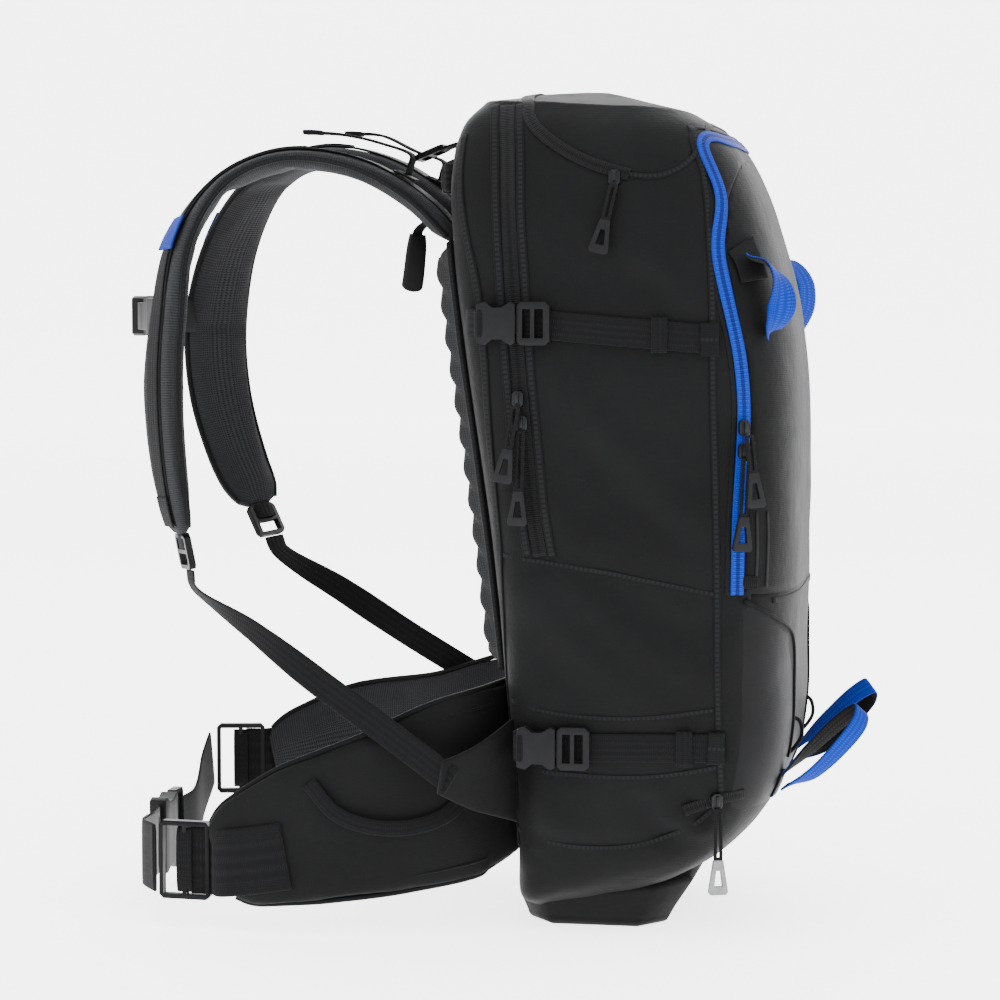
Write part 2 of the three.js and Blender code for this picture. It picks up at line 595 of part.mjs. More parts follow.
function haulLoop() {
  const z = up(534);
  const reach = 20;
  const back = backX(30, z) - GAP - 1.4;
  const route = [V(back, -30, z), V(back - reach * 0.7, -22, z), V(back - reach, 0, z),
    V(back - reach * 0.7, 22, z), V(back, 30, z)];
  const loop = toSolid(band(route, [V(0, 0, 1)], WEB, 2.4, { steps: 16 }));
  addMesh('haul_loop', toGeometry(clearOfBag(loop)), BLACK);
}

// A rounded pull tab that hangs under the left strap's root.
function hangTab() {
  const length = 44;
  const half = 8;
  const top = ROOT_Z + 8;
  const steps = 6;
  const outline = [[-half, 0], [-half, -length + half]];
  for (let i = 1; i < steps; i++) {
    const turn = Math.PI * (1 + i / steps);
    outline.push([half * Math.cos(turn), -length + half + half * Math.sin(turn)]);
  }
  outline.push([half, -length + half], [half, 0]);
  const tab = plate(outline, 3).rotateZ(Math.PI / 2);
  addMesh('hang_tab', closed(tab.translate(ROOT_X - 29, -ROOT_Y - 4, top)), BLACK);
}

// ---------------------------------------------------------------- sternum strap

const STERNUM_Z = ROOT_Z - 54;
const STERNUM_X = ROOT_X - 249;
const STERNUM_END = 21;
const STERNUM_IN = 30;
function sternumStrap() {
  const mouthY = 2;
  const left = strapRoute(-1)[6];
  const right = strapRoute(1)[6];
  const inner = STERNUM_X + STERNUM_BUCKLE_THICK / 2;
  const turn = new THREE.Matrix4().makeRotationZ(Math.PI / 2).setPosition(STERNUM_X, mouthY, STERNUM_Z);
  const place = (solid) => toSolid(toGeometry(solid).applyMatrix4(turn));
  const socketEnd = mouthY - BUCKLE_LENGTH;
  const leftRoute = [V(STERNUM_X, socketEnd + 3, STERNUM_Z), V(STERNUM_X + 6, socketEnd - 14, STERNUM_Z),
    V(left.x - 31, left.y + 48, STERNUM_Z), V(left.x - STERNUM_END, left.y + STERNUM_IN, STERNUM_Z)];
  const leftWeb = toSolid(band(leftRoute, [V(0, 0, 1)], WEB, WEB_THICK, { steps: 8 }));
  const socket = place(buckleSocket(WEB, STERNUM_BUCKLE_THICK)).add(leftWeb);
  addMesh('sternum_socket', toGeometry(socket), PLASTIC, 0.5);
  addMesh('sternum_plug', toGeometry(place(bucklePlug(WEB, STERNUM_BUCKLE_THICK))), PLASTIC, 0.5);
  const rightEnd = V(right.x - STERNUM_END + 2, right.y - STERNUM_IN, STERNUM_Z);
  const rightRoute = [V(inner + 2, mouthY + 8, STERNUM_Z), V(inner + 3, mouthY + 30, STERNUM_Z),
    V(inner + 4, right.y - 42, STERNUM_Z), rightEnd];
  addMesh('sternum_web', band(rightRoute, [V(0, 0, 1)], WEB, WEB_THICK, { steps: 8 }), BLACK);
}

// ---------------------------------------------------------------- hip belt

const BELT_X = backX(0, up(100)) - GAP - WING_THICK / 2;
// Offsets from the belt's middle: back, sideways and height, then the wing's width there.
const WING_LEFT = [[0, 2, 108, 120], [-3, 62, 108, 128], [-20, 116, 104, 130], [-72, 139, 87, 116],
  [-138, 147, 69, 98], [-196, 142, 48, 66]];
const WING_RIGHT = [[0, 2, 108, 120], [-3, 62, 108, 128], [-20, 116, 105, 130], [-86, 136, 95, 110],
  [-160, 158, 90, 92], [-230, 144, 77, 56]];

const wingOf = (side) => (side < 0 ? WING_LEFT : WING_RIGHT);
const wingRouteOf = (side) => wingOf(side).map(([dx, y, z]) => V(BELT_X + dx, side * wide(y), z));

function hipWing(side) {
  const name = side < 0 ? 'left' : 'right';
  const widths = new THREE.CatmullRomCurve3(wingOf(side).map(([, , , width]) => V(width, 0, 0)));
  const width = endRound((s) => widths.getPoint(s).x, 0.95, 0.6, 0.07);
  const thick = endRound(() => WING_THICK, 0.8, 0.45, 0.05);
  const wing = toSolid(band(wingRouteOf(side), [V(0, 0, 1)], width, thick, { steps: 16, sides: 10 }));
  addMesh(`hip_wing_${name}`, toGeometry(clearOfBag(wing)), CHARCOAL);
}

const TIP_GAP = 7;
function waistLock(side) {
  const name = side < 0 ? 'left' : 'right';
  const route = wingRouteOf(side);
  const end = route[route.length - 1];
  const along = end.clone().sub(route[route.length - 2]).setZ(0).normalize();
  const centre = end.clone().addScaledVector(along, 19 + TIP_GAP);
  const lock = ladderFrame(WAIST_WEB, 38, 6).applyMatrix4(frameAt(along, V(0, 0, 1), centre));
  addMesh(`waist_lock_${name}`, closed(lock), PLASTIC, 0.5);
  return end.clone().addScaledVector(along, 38 + TIP_GAP + 4);
}

const BUCKLE_X = BELT_X - 275;
const WAIST_Z = 43;
const WAIST_BUCKLE_LENGTH = 34;
function waistBelt() {
  const mouthY = 4;
  const leftLock = waistLock(-1);
  const rightLock = waistLock(1);
  const turn = new THREE.Matrix4().makeRotationZ(Math.PI / 2).setPosition(BUCKLE_X, mouthY, WAIST_Z);
  const place = (solid) => toSolid(toGeometry(solid).applyMatrix4(turn));
  const socketEnd = mouthY - WAIST_BUCKLE_LENGTH;
  const leftBend = V(BUCKLE_X + 6, socketEnd - 20, WAIST_Z);
  const leftRoute = [V(BUCKLE_X, socketEnd + 3, WAIST_Z), leftBend,
    leftLock.clone().lerp(leftBend, 0.4).add(V(-9, 0, 0)), leftLock];
  const leftWeb = toSolid(band(leftRoute, [V(0, 0, 1)], WAIST_WEB, WAIST_WEB_THICK, { steps: 8 }));
  const socket = place(buckleSocket(WAIST_WEB, WAIST_BUCKLE_THICK, WAIST_BUCKLE_LENGTH));
  addMesh('waist_socket', toGeometry(socket.add(leftWeb)), PLASTIC, 0.5);
  addMesh('waist_plug', toGeometry(place(bucklePlug(WAIST_WEB, WAIST_BUCKLE_THICK))), PLASTIC, 0.5);
  const inner = BUCKLE_X + WAIST_BUCKLE_THICK / 2 + 1.2;
  const rightBend = V(inner + 1, mouthY + 40, WAIST_Z + 2);
  const rightRoute = [V(inner, mouthY + 8, WAIST_Z), rightBend,
    rightLock.clone().lerp(rightBend, 0.45).add(V(-2, 4, 0)), rightLock];
  const web = band(rightRoute, [V(0, 0, 1)], WAIST_WEB, WAIST_WEB_THICK, { steps: 10 });
  addMesh('waist_web', web, BLACK);
}

// A gear loop of folded webbing on the outer face of the left wing.
function gearLoop() {
  const wing = meshes.hip_wing_left;
  wing.updateMatrixWorld();
  const wingY = (x, z) => meet(wing, V(x, -FAR_OFF, z), V(0, 1, 0)).y;
  const spots = [[-127, 108, 1.8], [-108, 88, 5], [-84, 79, 7], [-56, 78, 7], [-32, 86, 5],
    [-18, 103, 1.8]];
  const route = spots.map(([dx, z, lift]) => V(BELT_X + dx, wingY(BELT_X + dx, z) - lift, z));
  const curve = new THREE.CatmullRomCurve3(route);
  const last = spots.length - 1;
  const across = spots.map((_, i) => curve.getTangent(i / last).cross(V(0, 1, 0)));
  const loop = toSolid(band(route, across, 11, 2, { steps: 16 }));
  addMesh('gear_loop', toGeometry(loop.subtract(toSolid(wing.geometry))), BLACK);
}

bag();
frontZip();
divider();
frame();
backPad();
basePanel();
for (const side of [-1, 1]) {
  for (const strap of SIDE_STRAPS) sideStrap(strap, side);
  toolHolder(side);
  axeLoop(side);
  shoulderStrap(side);
  strapEnd(side);
  loadLifter(side);
  hipWing(side);
}
zipSliders();
haulLoop();
hangTab();
sternumStrap();
waistBelt();
gearLoop();

export default pack;
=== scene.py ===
import json
import math

import bmesh
import bpy
import numpy as np
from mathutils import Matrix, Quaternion, Vector, noise
from mathutils.bvhtree import BVHTree


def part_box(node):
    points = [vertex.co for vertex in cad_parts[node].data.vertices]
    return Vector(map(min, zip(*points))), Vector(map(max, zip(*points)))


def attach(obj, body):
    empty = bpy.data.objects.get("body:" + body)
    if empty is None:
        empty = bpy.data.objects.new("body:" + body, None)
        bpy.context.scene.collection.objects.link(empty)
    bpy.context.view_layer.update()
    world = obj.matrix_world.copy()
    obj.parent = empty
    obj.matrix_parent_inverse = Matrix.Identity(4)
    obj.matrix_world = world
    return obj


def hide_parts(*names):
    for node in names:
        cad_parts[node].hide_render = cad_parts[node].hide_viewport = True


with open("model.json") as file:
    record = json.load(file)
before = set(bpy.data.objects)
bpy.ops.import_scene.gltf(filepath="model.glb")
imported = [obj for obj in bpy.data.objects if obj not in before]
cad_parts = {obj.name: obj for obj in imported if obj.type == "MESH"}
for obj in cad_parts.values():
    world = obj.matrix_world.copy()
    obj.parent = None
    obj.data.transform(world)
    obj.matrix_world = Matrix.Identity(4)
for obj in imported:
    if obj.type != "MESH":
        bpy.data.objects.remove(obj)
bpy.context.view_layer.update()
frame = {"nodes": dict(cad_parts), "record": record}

# All sizes below are in millimetres; a mesh is scaled to metres when it is made.
MM = 0.001
PACK_HEIGHT = 597.0
PACK_DEPTH = 246.0
PACK_WIDTH = 278.0
LEFT, RIGHT = -1, 1
SIDES = {"left": LEFT, "right": RIGHT}


# ---------------------------------------------------------------- camera, floor and light

def set_up_studio():
    """The camera at the bag's left side, a pale floor that curves up behind, soft lamps."""
    camera = bpy.data.objects.new("camera", bpy.data.cameras.new("camera"))
    bpy.context.scene.collection.objects.link(camera)
    camera.data.lens = 107.3
    camera.data.sensor_width = 36
    camera.data.clip_end = 60
    camera.location = (0.316, -2.1666, 0.450)
    aim = Vector((-0.066, 0, 0.2972)) - camera.location
    camera.rotation_euler = aim.to_track_quat("-Z", "Y").to_euler()
    bpy.context.scene.camera = camera

    bm = bmesh.new()
    bmesh.ops.create_grid(bm, x_segments=1, y_segments=1, size=8)
    far = [e for e in bm.edges if all(v.co.y > 7 for v in e.verts)]
    bends = 10
    for i in range(bends):
        made = bmesh.ops.extrude_edge_only(bm, edges=far)["geom"]
        turn = math.pi / 2 * (i + 0.5) / bends
        step = Vector((0, math.cos(turn), math.sin(turn))) * 0.5
        bmesh.ops.translate(bm, vec=step, verts=[v for v in made if isinstance(v, bmesh.types.BMVert)])
        far = [e for e in made if isinstance(e, bmesh.types.BMEdge)
               and all(v in made for v in e.verts)]
    made = bmesh.ops.extrude_edge_only(bm, edges=far)["geom"]
    bmesh.ops.translate(bm, vec=(0, 0, 8), verts=[v for v in made if isinstance(v, bmesh.types.BMVert)])
    mesh = bpy.data.meshes.new("studio_floor")
    bm.to_mesh(mesh)
    bm.free()
    floor = bpy.data.objects.new("studio_floor", mesh)
    bpy.context.scene.collection.objects.link(floor)
    for face in mesh.polygons:
        face.use_smooth = True
    paper = bpy.data.materials.new("pale_paper")
    paper.use_nodes = True
    shader = paper.node_tree.nodes["Principled BSDF"]
    shader.inputs["Base Color"].default_value = (0.93, 0.93, 0.94, 1)
    shader.inputs["Roughness"].default_value = 0.9
    shader.inputs["Emission Color"].default_value = (1, 1, 1, 1)
    shader.inputs["Emission Strength"].default_value = 2.8
    mesh.materials.append(paper)

    world = bpy.data.worlds.new("studio_world")
    world.use_nodes = True
    world.node_tree.nodes["Background"].inputs["Color"].default_value = (0.96, 0.97, 1, 1)
    world.node_tree.nodes["Background"].inputs["Strength"].default_value = 2.3
    bpy.context.scene.world = world
    lamps = [
        ("overhead_softbox", (0.1, -0.4, 2.6), (0, 0, 0.3), 2.2, 42),
        ("front_softbox", (2.2, -1.6, 1.3), (0, 0, 0.3), 1.4, 14),
        ("harness_softbox", (-2.0, -1.8, 1.0), (-0.1, 0, 0.3), 1.4, 12),
        ("back_softbox", (-0.6, 2.4, 1.8), (0, 0, 0.3), 1.6, 20),
    ]
    for name, place, target, size, power in lamps:
        lamp = bpy.data.objects.new(name, bpy.data.lights.new(name, "AREA"))
        bpy.context.scene.collection.objects.link(lamp)
        lamp.location = place
        lamp.rotation_euler = (Vector(target) - Vector(place)).to_track_quat("-Z", "Y").to_euler()
        lamp.data.size = size
        lamp.data.energy = power


# ---------------------------------------------------------------- materials

class Finish:
    """A material whose nodes are added one after another."""

    def __init__(self, name, colour, roughness, **sockets):
        self.material = bpy.data.materials.new(name)
        self.material.use_nodes = True
        self.tree = self.material.node_tree
        self.shader = self.tree.nodes["Principled BSDF"]
        self.shader.inputs["Base Color"].default_value = (*colour, 1)
        self.shader.inputs["Roughness"].default_value = roughness
        self.colour = colour
        for socket, value in sockets.items():
            self.shader.inputs[socket.replace("_", " ")].default_value = value
        self.place = self.tree.nodes.new("ShaderNodeTexCoord")
        self.parts = self.tree.nodes.new("ShaderNodeSeparateXYZ")
        self.from_object()

    def link(self, a, b):
        self.tree.links.new(a, b)

    def from_object(self):
        self.link(self.place.outputs["Object"], self.parts.inputs[0])

    def from_uv(self):
        self.link(self.place.outputs["UV"], self.parts.inputs[0])

    def maths(self, operation, a, b=None, c=None):
        node = self.tree.nodes.new("ShaderNodeMath")
        node.operation = operation
        for socket, value in zip(node.inputs, (a, b, c)):
            if value is None:
                continue
            if isinstance(value, (int, float)):
                socket.default_value = value
            else:
                self.link(value, socket)
        return node.outputs[0]

    def noise(self, scale, detail=3, rough=0.55, stretch=None):
        node = self.tree.nodes.new("ShaderNodeTexNoise")
        node.inputs["Scale"].default_value = scale
        node.inputs["Detail"].default_value = detail
        node.inputs["Roughness"].default_value = rough
        source = self.place.outputs["Object"]
        if stretch:
            mapping = self.tree.nodes.new("ShaderNodeMapping")
            mapping.inputs["Scale"].default_value = stretch
            self.link(source, mapping.inputs[0])
            source = mapping.outputs[0]
        self.link(source, node.inputs["Vector"])
        return node.outputs["Fac"]

    def ridges(self, value, pitch):
        """Rounded ribs across a coordinate, one each pitch of metres, from 0 to 1."""
        turned = self.maths("MULTIPLY", value, 2 * math.pi / pitch)
        wave = self.maths("SINE", turned)
        return self.maths("MULTIPLY_ADD", wave, 0.5, 0.5)

    def shades(self, factor, dark, light, low=0.35, high=0.65):
        """Base colour between two shares of the finish's own colour."""
        ramp = self.tree.nodes.new("ShaderNodeValToRGB")
        ramp.color_ramp.elements[0].position = low
        ramp.color_ramp.elements[1].position = high
        ramp.color_ramp.elements[0].color = (*[min(1, c * dark) for c in self.colour], 1)
        ramp.color_ramp.elements[1].color = (*[min(1, c * light) for c in self.colour], 1)
        self.link(factor, ramp.inputs[0])
        self.link(ramp.outputs[0], self.shader.inputs["Base Color"])

    def gloss(self, factor, low, high):
        """Roughness that varies from low to high."""
        spread = self.tree.nodes.new("ShaderNodeMapRange")
        spread.inputs["To Min"].default_value = low
        spread.inputs["To Max"].default_value = high
        self.link(factor, spread.inputs["Value"])
        self.link(spread.outputs[0], self.shader.inputs["Roughness"])

    def relief(self, *layers):
        """Bump from (height, depth in mm) layers, each on top of the last."""
        last = None
        for height, depth in layers:
            bump = self.tree.nodes.new("ShaderNodeBump")
            bump.inputs["Strength"].default_value = 1
            bump.inputs["Distance"].default_value = depth * MM
            self.link(height, bump.inputs["Height"])
            if last:
                self.link(last, bump.inputs["Normal"])
            last = bump.outputs[0]
        self.link(last, self.shader.inputs["Normal"])


def plain_weave(finish, pitch):
    """Threads over and under, seen on any face: across the height and along the level way."""
    x, y, z = finish.parts.outputs
    level = finish.maths("ADD", x, y)
    upright = finish.ridges(level, pitch)
    flat = finish.ridges(z, pitch)
    return finish.maths("MULTIPLY", upright, flat)


def woven_cloth(name, colour, roughness, weave=1.3, sheen=0.02):
    cloth = Finish(name, colour, roughness, Sheen_Weight=sheen, Sheen_Roughness=0.5,
                   Specular_IOR_Level=0.06)
    threads = plain_weave(cloth, weave * MM)
    crease = cloth.noise(38, 4, 0.6)
    cloth.shades(cloth.noise(9, 4), 0.82, 1.2)
    cloth.gloss(crease, roughness - 0.09, roughness + 0.1)
    cloth.relief((crease, 1.1), (cloth.noise(150, 2), 0.12), (threads, 0.1))
    return cloth.material


def coated_cloth():
    cloth = Finish("coated_cloth", (0.0031, 0.0032, 0.0034), 0.5, Specular_IOR_Level=0.07,
                   Coat_Weight=0.01, Coat_Roughness=0.5)
    threads = plain_weave(cloth, 1.1 * MM)
    crease = cloth.noise(26, 3, 0.5)
    cloth.shades(cloth.noise(12, 3), 0.85, 1.15)
    cloth.gloss(crease, 0.42, 0.58)
    cloth.relief((crease, 1.2), (threads, 0.07))
    return cloth.material


def spacer_mesh(name="spacer_mesh", colour=(0.0092, 0.0094, 0.0100), pitch=3.4):
    """Knitted mesh with staggered round holes, laid out on the piece's own UV metres; the holes are coloured dark
    as painted shade inside them.
    """
    mesh = Finish(name, colour, 0.85, Sheen_Weight=0.03, Specular_IOR_Level=0.05)
    mesh.from_uv()
    along, around, _ = mesh.parts.outputs
    a = mesh.maths("MULTIPLY", along, 2 * math.pi / (pitch * MM))
    b = mesh.maths("MULTIPLY", around, 2 * math.pi / (pitch * MM * 0.9))
    holes = mesh.maths("MULTIPLY", mesh.maths("COSINE", mesh.maths("ADD", a, b)),
                       mesh.maths("COSINE", mesh.maths("SUBTRACT", a, b)))
    depth = mesh.maths("SMOOTH_MIN", holes, 0.25, 0.2)
    # Painted shade: the holes are coloured a fifth of the mesh colour, standing in for the shade inside them.
    mesh.shades(holes, 1.9, 0.2, 0.35, 0.6)
    mesh.relief((mesh.noise(60, 3), 0.5), (mesh.maths("MULTIPLY", depth, -1.0), 0.5))
    return mesh.material


def webbing(name, colour, pitch=1.5, sheen=0.02):
    """Flat woven webbing: ribs across it, fine threads along it and darker lines between; the darker lines are
    painted shade and the raised weave a painted highlight.
    """
    web = Finish(name, colour, 0.85, Sheen_Weight=sheen, Specular_IOR_Level=0.07)
    web.from_uv()
    along, across, _ = web.parts.outputs
    ribs = web.ridges(along, pitch * MM)
    threads = web.ridges(across, 1.1 * pitch * MM)
    weave = web.maths("MULTIPLY", ribs, threads)
    # Painted light: colour follows the bump height, lighter on the raised weave and darker in the lines between.
    web.shades(weave, 0.62, 1.25, 0.1, 0.9)
    web.relief((web.noise(70, 2), 0.25), (weave, 0.32))
    return web.material


def zip_tape(name, colour, coil_width=3.4):
    """Coil zip seen from its back: flat tape and a ribbed middle."""
    tape = Finish(name, colour, 0.55, Sheen_Weight=0.02, Specular_IOR_Level=0.07)
    tape.from_uv()
    along, across, _ = tape.parts.outputs
    aside = tape.maths("ABSOLUTE", across)
    coil = tape.maths("LESS_THAN", aside, coil_width / 2 * MM)
    teeth = tape.maths("MULTIPLY", tape.ridges(along, 1.5 * MM), coil)
    slit = tape.maths("LESS_THAN", aside, 0.35 * MM)
    knit = tape.ridges(along, 1.0 * MM)
    height = tape.maths("SUBTRACT", tape.maths("ADD", teeth, tape.maths("MULTIPLY", knit, 0.35)), slit)
    # Painted light: raised teeth and knit are coloured lighter as a painted highlight and the slit darker as
    # painted shade, following the bump height.
    shade = tape.maths("SUBTRACT", tape.maths("ADD", 0.45, tape.maths("MULTIPLY", height, 0.4)),
                       tape.maths("MULTIPLY", slit, 0.6))
    tape.shades(shade, 0.35, 1.25, 0.0, 1.0)
    tape.relief((height, 0.5))
    return tape.material


def stitched_tape(name="stitched_tape", colour=(0.0028, 0.0029, 0.0031)):
    """A folded fabric binding with one row of stitches down the middle."""
    tape = Finish(name, colour, 0.6, Sheen_Weight=0.02, Specular_IOR_Level=0.05)
    tape.from_uv()
    along, across, _ = tape.parts.outputs
    dash = tape.maths("GREATER_THAN", tape.ridges(along, 3.4 * MM), 0.32)
    row = tape.maths("LESS_THAN", tape.maths("ABSOLUTE", across), 0.42 * MM)
    stitch = tape.maths("MULTIPLY", dash, row)
    tape.shades(stitch, 1.0, 2.4, 0.2, 0.8)
    tape.relief((tape.noise(90, 3), 0.3), (tape.ridges(across, 0.8 * MM), 0.08), (stitch, 0.4))
    return tape.material


def moulded(name, colour, roughness, specular=0.1):
    """Satin moulded plastic with a fine spark finish and small scuffs."""
    plastic = Finish(name, colour, roughness, Specular_IOR_Level=specular)
    grain = plastic.noise(900, 2)
    scuff = plastic.noise(120, 6, 0.7)
    plastic.shades(scuff, 0.85, 1.3, 0.4, 0.75)
    plastic.gloss(scuff, roughness - 0.08, roughness + 0.12)
    plastic.relief((grain, 0.06), (scuff, 0.05))
    return plastic.material


def metal(name, colour, roughness):
    piece = Finish(name, colour, roughness, Metallic=0.85)
    rubbed = piece.noise(260, 4, 0.6, (1, 1, 0.2))
    piece.shades(rubbed, 0.8, 1.35)
    piece.gloss(rubbed, roughness - 0.08, roughness + 0.12)
    piece.relief((rubbed, 0.04))
    return piece.material


def cord_braid():
    """A thin braided cord: crossing diagonal strands, coloured darker between them as painted shade and lighter on
    their crowns as painted highlight.
    """
    cord = Finish("cord_braid", (0.0043, 0.0044, 0.0047), 0.6, Sheen_Weight=0.02, Specular_IOR_Level=0.06)
    x, y, z = cord.parts.outputs
    level = cord.maths("ADD", x, y)
    one = cord.ridges(cord.maths("ADD", level, z), 1.6 * MM)
    two = cord.ridges(cord.maths("SUBTRACT", level, z), 1.6 * MM)
    # Painted light: colour follows the strand height, darker where the strands dip and lighter on their crowns.
    cord.shades(cord.maths("MULTIPLY", one, two), 0.6, 1.4, 0.1, 0.8)
    cord.relief((cord.maths("MULTIPLY", one, two), 0.3))
    return cord.material


SHELL = woven_cloth("shell_nylon", (0.0024, 0.0025, 0.0026), 0.6)
POCKET = woven_cloth("pocket_nylon", (0.0026, 0.0027, 0.0028), 0.66)
HARNESS = woven_cloth("harness_nylon", (0.0025, 0.0026, 0.0027), 0.62, 1.0)
LINING = woven_cloth("lining", (0.0100, 0.0105, 0.0115), 0.6, 1.0)
COATED = coated_cloth()
MESH = spacer_mesh()
PAD_MESH = spacer_mesh("back_pad_mesh", (0.0088, 0.0090, 0.0095), 2.6)
WEB_BLACK = webbing("webbing_black", (0.0043, 0.0044, 0.0047))
WEB_BLUE = webbing("webbing_blue", (0.0007, 0.022, 0.25))
ZIP_BLACK = zip_tape("zip_tape_black", (0.0035, 0.0036, 0.0039))
ZIP_BLUE = zip_tape("zip_tape_blue", (0.0007, 0.022, 0.25))
BINDING = stitched_tape()
PLASTIC = moulded("buckle_acetal", (0.0042, 0.0043, 0.0046), 0.45)
GRIP = moulded("pull_rubber", (0.0052, 0.0053, 0.0056), 0.5)
GRIP_PALE = moulded("pull_rubber_pale", (0.17, 0.175, 0.18), 0.5)
LACQUER = metal("slider_lacquer", (0.0090, 0.0092, 0.0096), 0.35)
ROD = metal("frame_rod_aluminium", (0.62, 0.63, 0.65), 0.32)
SHEET = moulded("frame_sheet_plastic", (0.16, 0.17, 0.18), 0.5)
RUBBER = moulded("base_rubber", (0.0026, 0.0027, 0.0028), 0.65, 0.15)
CORD = cord_braid()


# ---------------------------------------------------------------- curves and surfaces

def through(points, share):
    """A point at a share of the way along a smooth centripetal curve through the points."""
    points = np.asarray(points, float)
    last = len(points) - 1
    place = min(max(share, 0.0), 1.0) * last
    i = min(int(place), last - 1)
    t = place - i
    p1, p2 = points[i], points[i + 1]
    p0 = points[i - 1] if i > 0 else 2 * p1 - p2
    p3 = points[i + 2] if i + 2 <= last else 2 * p2 - p1
    d0, d1, d2 = (max(np.linalg.norm(b - a), 1e-9) ** 0.5 for a, b in ((p0, p1), (p1, p2), (p2, p3)))
    t1 = ((p1 - p0) / d0 - (p2 - p0) / (d0 + d1) + (p2 - p1) / d1) * d1
    t2 = ((p2 - p1) / d1 - (p3 - p1) / (d1 + d2) + (p3 - p2) / d2) * d1
    return p1 + t1 * t + (-3 * p1 + 3 * p2 - 2 * t1 - t2) * t ** 2 + (2 * p1 - 2 * p2 + t1 + t2) * t ** 3


def even(points, count):
    """The same curve as points the same distance apart."""
    fine = np.array([through(points, i / 400) for i in range(401)])
    run = np.concatenate([[0], np.cumsum(np.linalg.norm(np.diff(fine, axis=0), axis=1))])
    at = np.linspace(0, run[-1], count)
    return np.stack([np.interp(at, run, fine[:, k]) for k in range(fine.shape[1])], axis=1)


def squared(value, power):
    """One coordinate of a squared-off circle."""
    size = abs(value)
    return 0.0 if size < 1e-6 else math.copysign(size ** (2 / power), value)


def smooth_step(low, high, value):
    t = min(max((value - low) / (high - low), 0.0), 1.0)
    return t * t * (3 - 2 * t)


LEVELS = [
    (12.5 / PACK_HEIGHT, -0.122, 0.045, 0.252, 0.331),
    (0.038, -0.148, 0.090, 0.440, 0.424),
    (0.100, -0.151, 0.145, 0.565, 0.460),
    (0.186, -0.159, 0.214, 0.629, 0.482),
    (0.338, -0.191, 0.350, 0.644, 0.496),
    (0.507, -0.240, 0.515, 0.650, 0.500),
    (0.676, -0.301, 0.679, 0.638, 0.496),
    (0.806, -0.341, 0.797, 0.583, 0.478),
    (0.892, -0.350, 0.879, 0.516, 0.450),
    (0.951, -0.324, 0.938, 0.430, 0.396),
    (0.981, -0.262, 0.969, 0.318, 0.331),
]
BACK_EDGE = [(x * PACK_DEPTH, half * PACK_WIDTH, z * PACK_HEIGHT) for z, x, _, _, half in LEVELS]
FRONT_EDGE = [(x * PACK_DEPTH, 0, z * PACK_HEIGHT) for _, _, z, x, _ in LEVELS]
BACK_SQUARENESS = 7
FRONT_SQUARENESS = 4


def body_point(share, turn, reach=1.0):
    """A point on the bag: share up its side, turn round it, reach 1 at the skin, 0 on the axis."""
    back, front = through(BACK_EDGE, share), through(FRONT_EDGE, share)
    forward = math.sin(turn)
    power = BACK_SQUARENESS if forward < 0 else FRONT_SQUARENESS
    along = squared(forward, power) * reach
    depth = (front[0] - back[0]) / 2
    x = (front[0] + back[0]) / 2 + depth * along
    y = -back[1] * squared(math.cos(turn), power) * reach
    crown = PACK_HEIGHT * 0.025 * (1 - reach) if share > 0.5 else 0
    return Vector((x, y, back[2] + (front[2] - back[2]) * (along + 1) / 2 + crown))


def even_turns(count):
    """Turns round the bag that part the middle ring into equal lengths."""
    fine = [2 * math.pi * i / 4000 for i in range(4001)]
    ring = [body_point(0.45, a) for a in fine]
    run = np.concatenate([[0], np.cumsum([(b - a).length for a, b in zip(ring, ring[1:])])])
    return np.interp(np.linspace(0, run[-1], count + 1)[:-1], run, fine)


def new_object(name, bm, materials, smooth=True):
    """The finished bmesh as an object in metres, at the origin."""
    bmesh.ops.scale(bm, vec=(MM, MM, MM), verts=bm.verts)
    mesh = bpy.data.meshes.new(name)
    bm.to_mesh(mesh)
    bm.free()
    for material in materials:
        mesh.materials.append(material)
    if smooth:
        for face in mesh.polygons:
            face.use_smooth = True
    piece = bpy.data.objects.new(name, mesh)
    bpy.context.scene.collection.objects.link(piece)
    return piece


def finish_piece(piece, body, slot, *nodes):
    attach(piece, body)
    if nodes:
        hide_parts(*nodes)
    return piece


def cad_tree(*nodes):
    """A ray and nearest-point lookup over CAD nodes, in millimetres."""
    points, faces = [], []
    for node in nodes:
        mesh = frame["nodes"][node].data
        start = len(points)
        points += [v.co / MM for v in mesh.vertices]
        faces += [[start + i for i in face.vertices] for face in mesh.polygons]
    return BVHTree.FromPolygons(points, faces)


CAD_SKIN = cad_tree("main_shell", "front_panel", "top_pocket")


def skin_hit(start, heading):
    """Where a ray meets the plain body, or the nearest spot on it where the ray passes by."""
    hit = CAD_SKIN.ray_cast(Vector(start), Vector(heading))[0]
    return hit or CAD_SKIN.find_nearest(Vector(start) + Vector(heading) * 850)[0]


def side_y(x, z):
    return skin_hit((x, -1000, z), (0, 1, 0)).y


def front_x(y, z):
    return skin_hit((1000, y, z), (-1, 0, 0)).x


def back_x(y, z):
    return skin_hit((-1000, y, z), (1, 0, 0)).x


# ---------------------------------------------------------------- lines on the bag, in side view

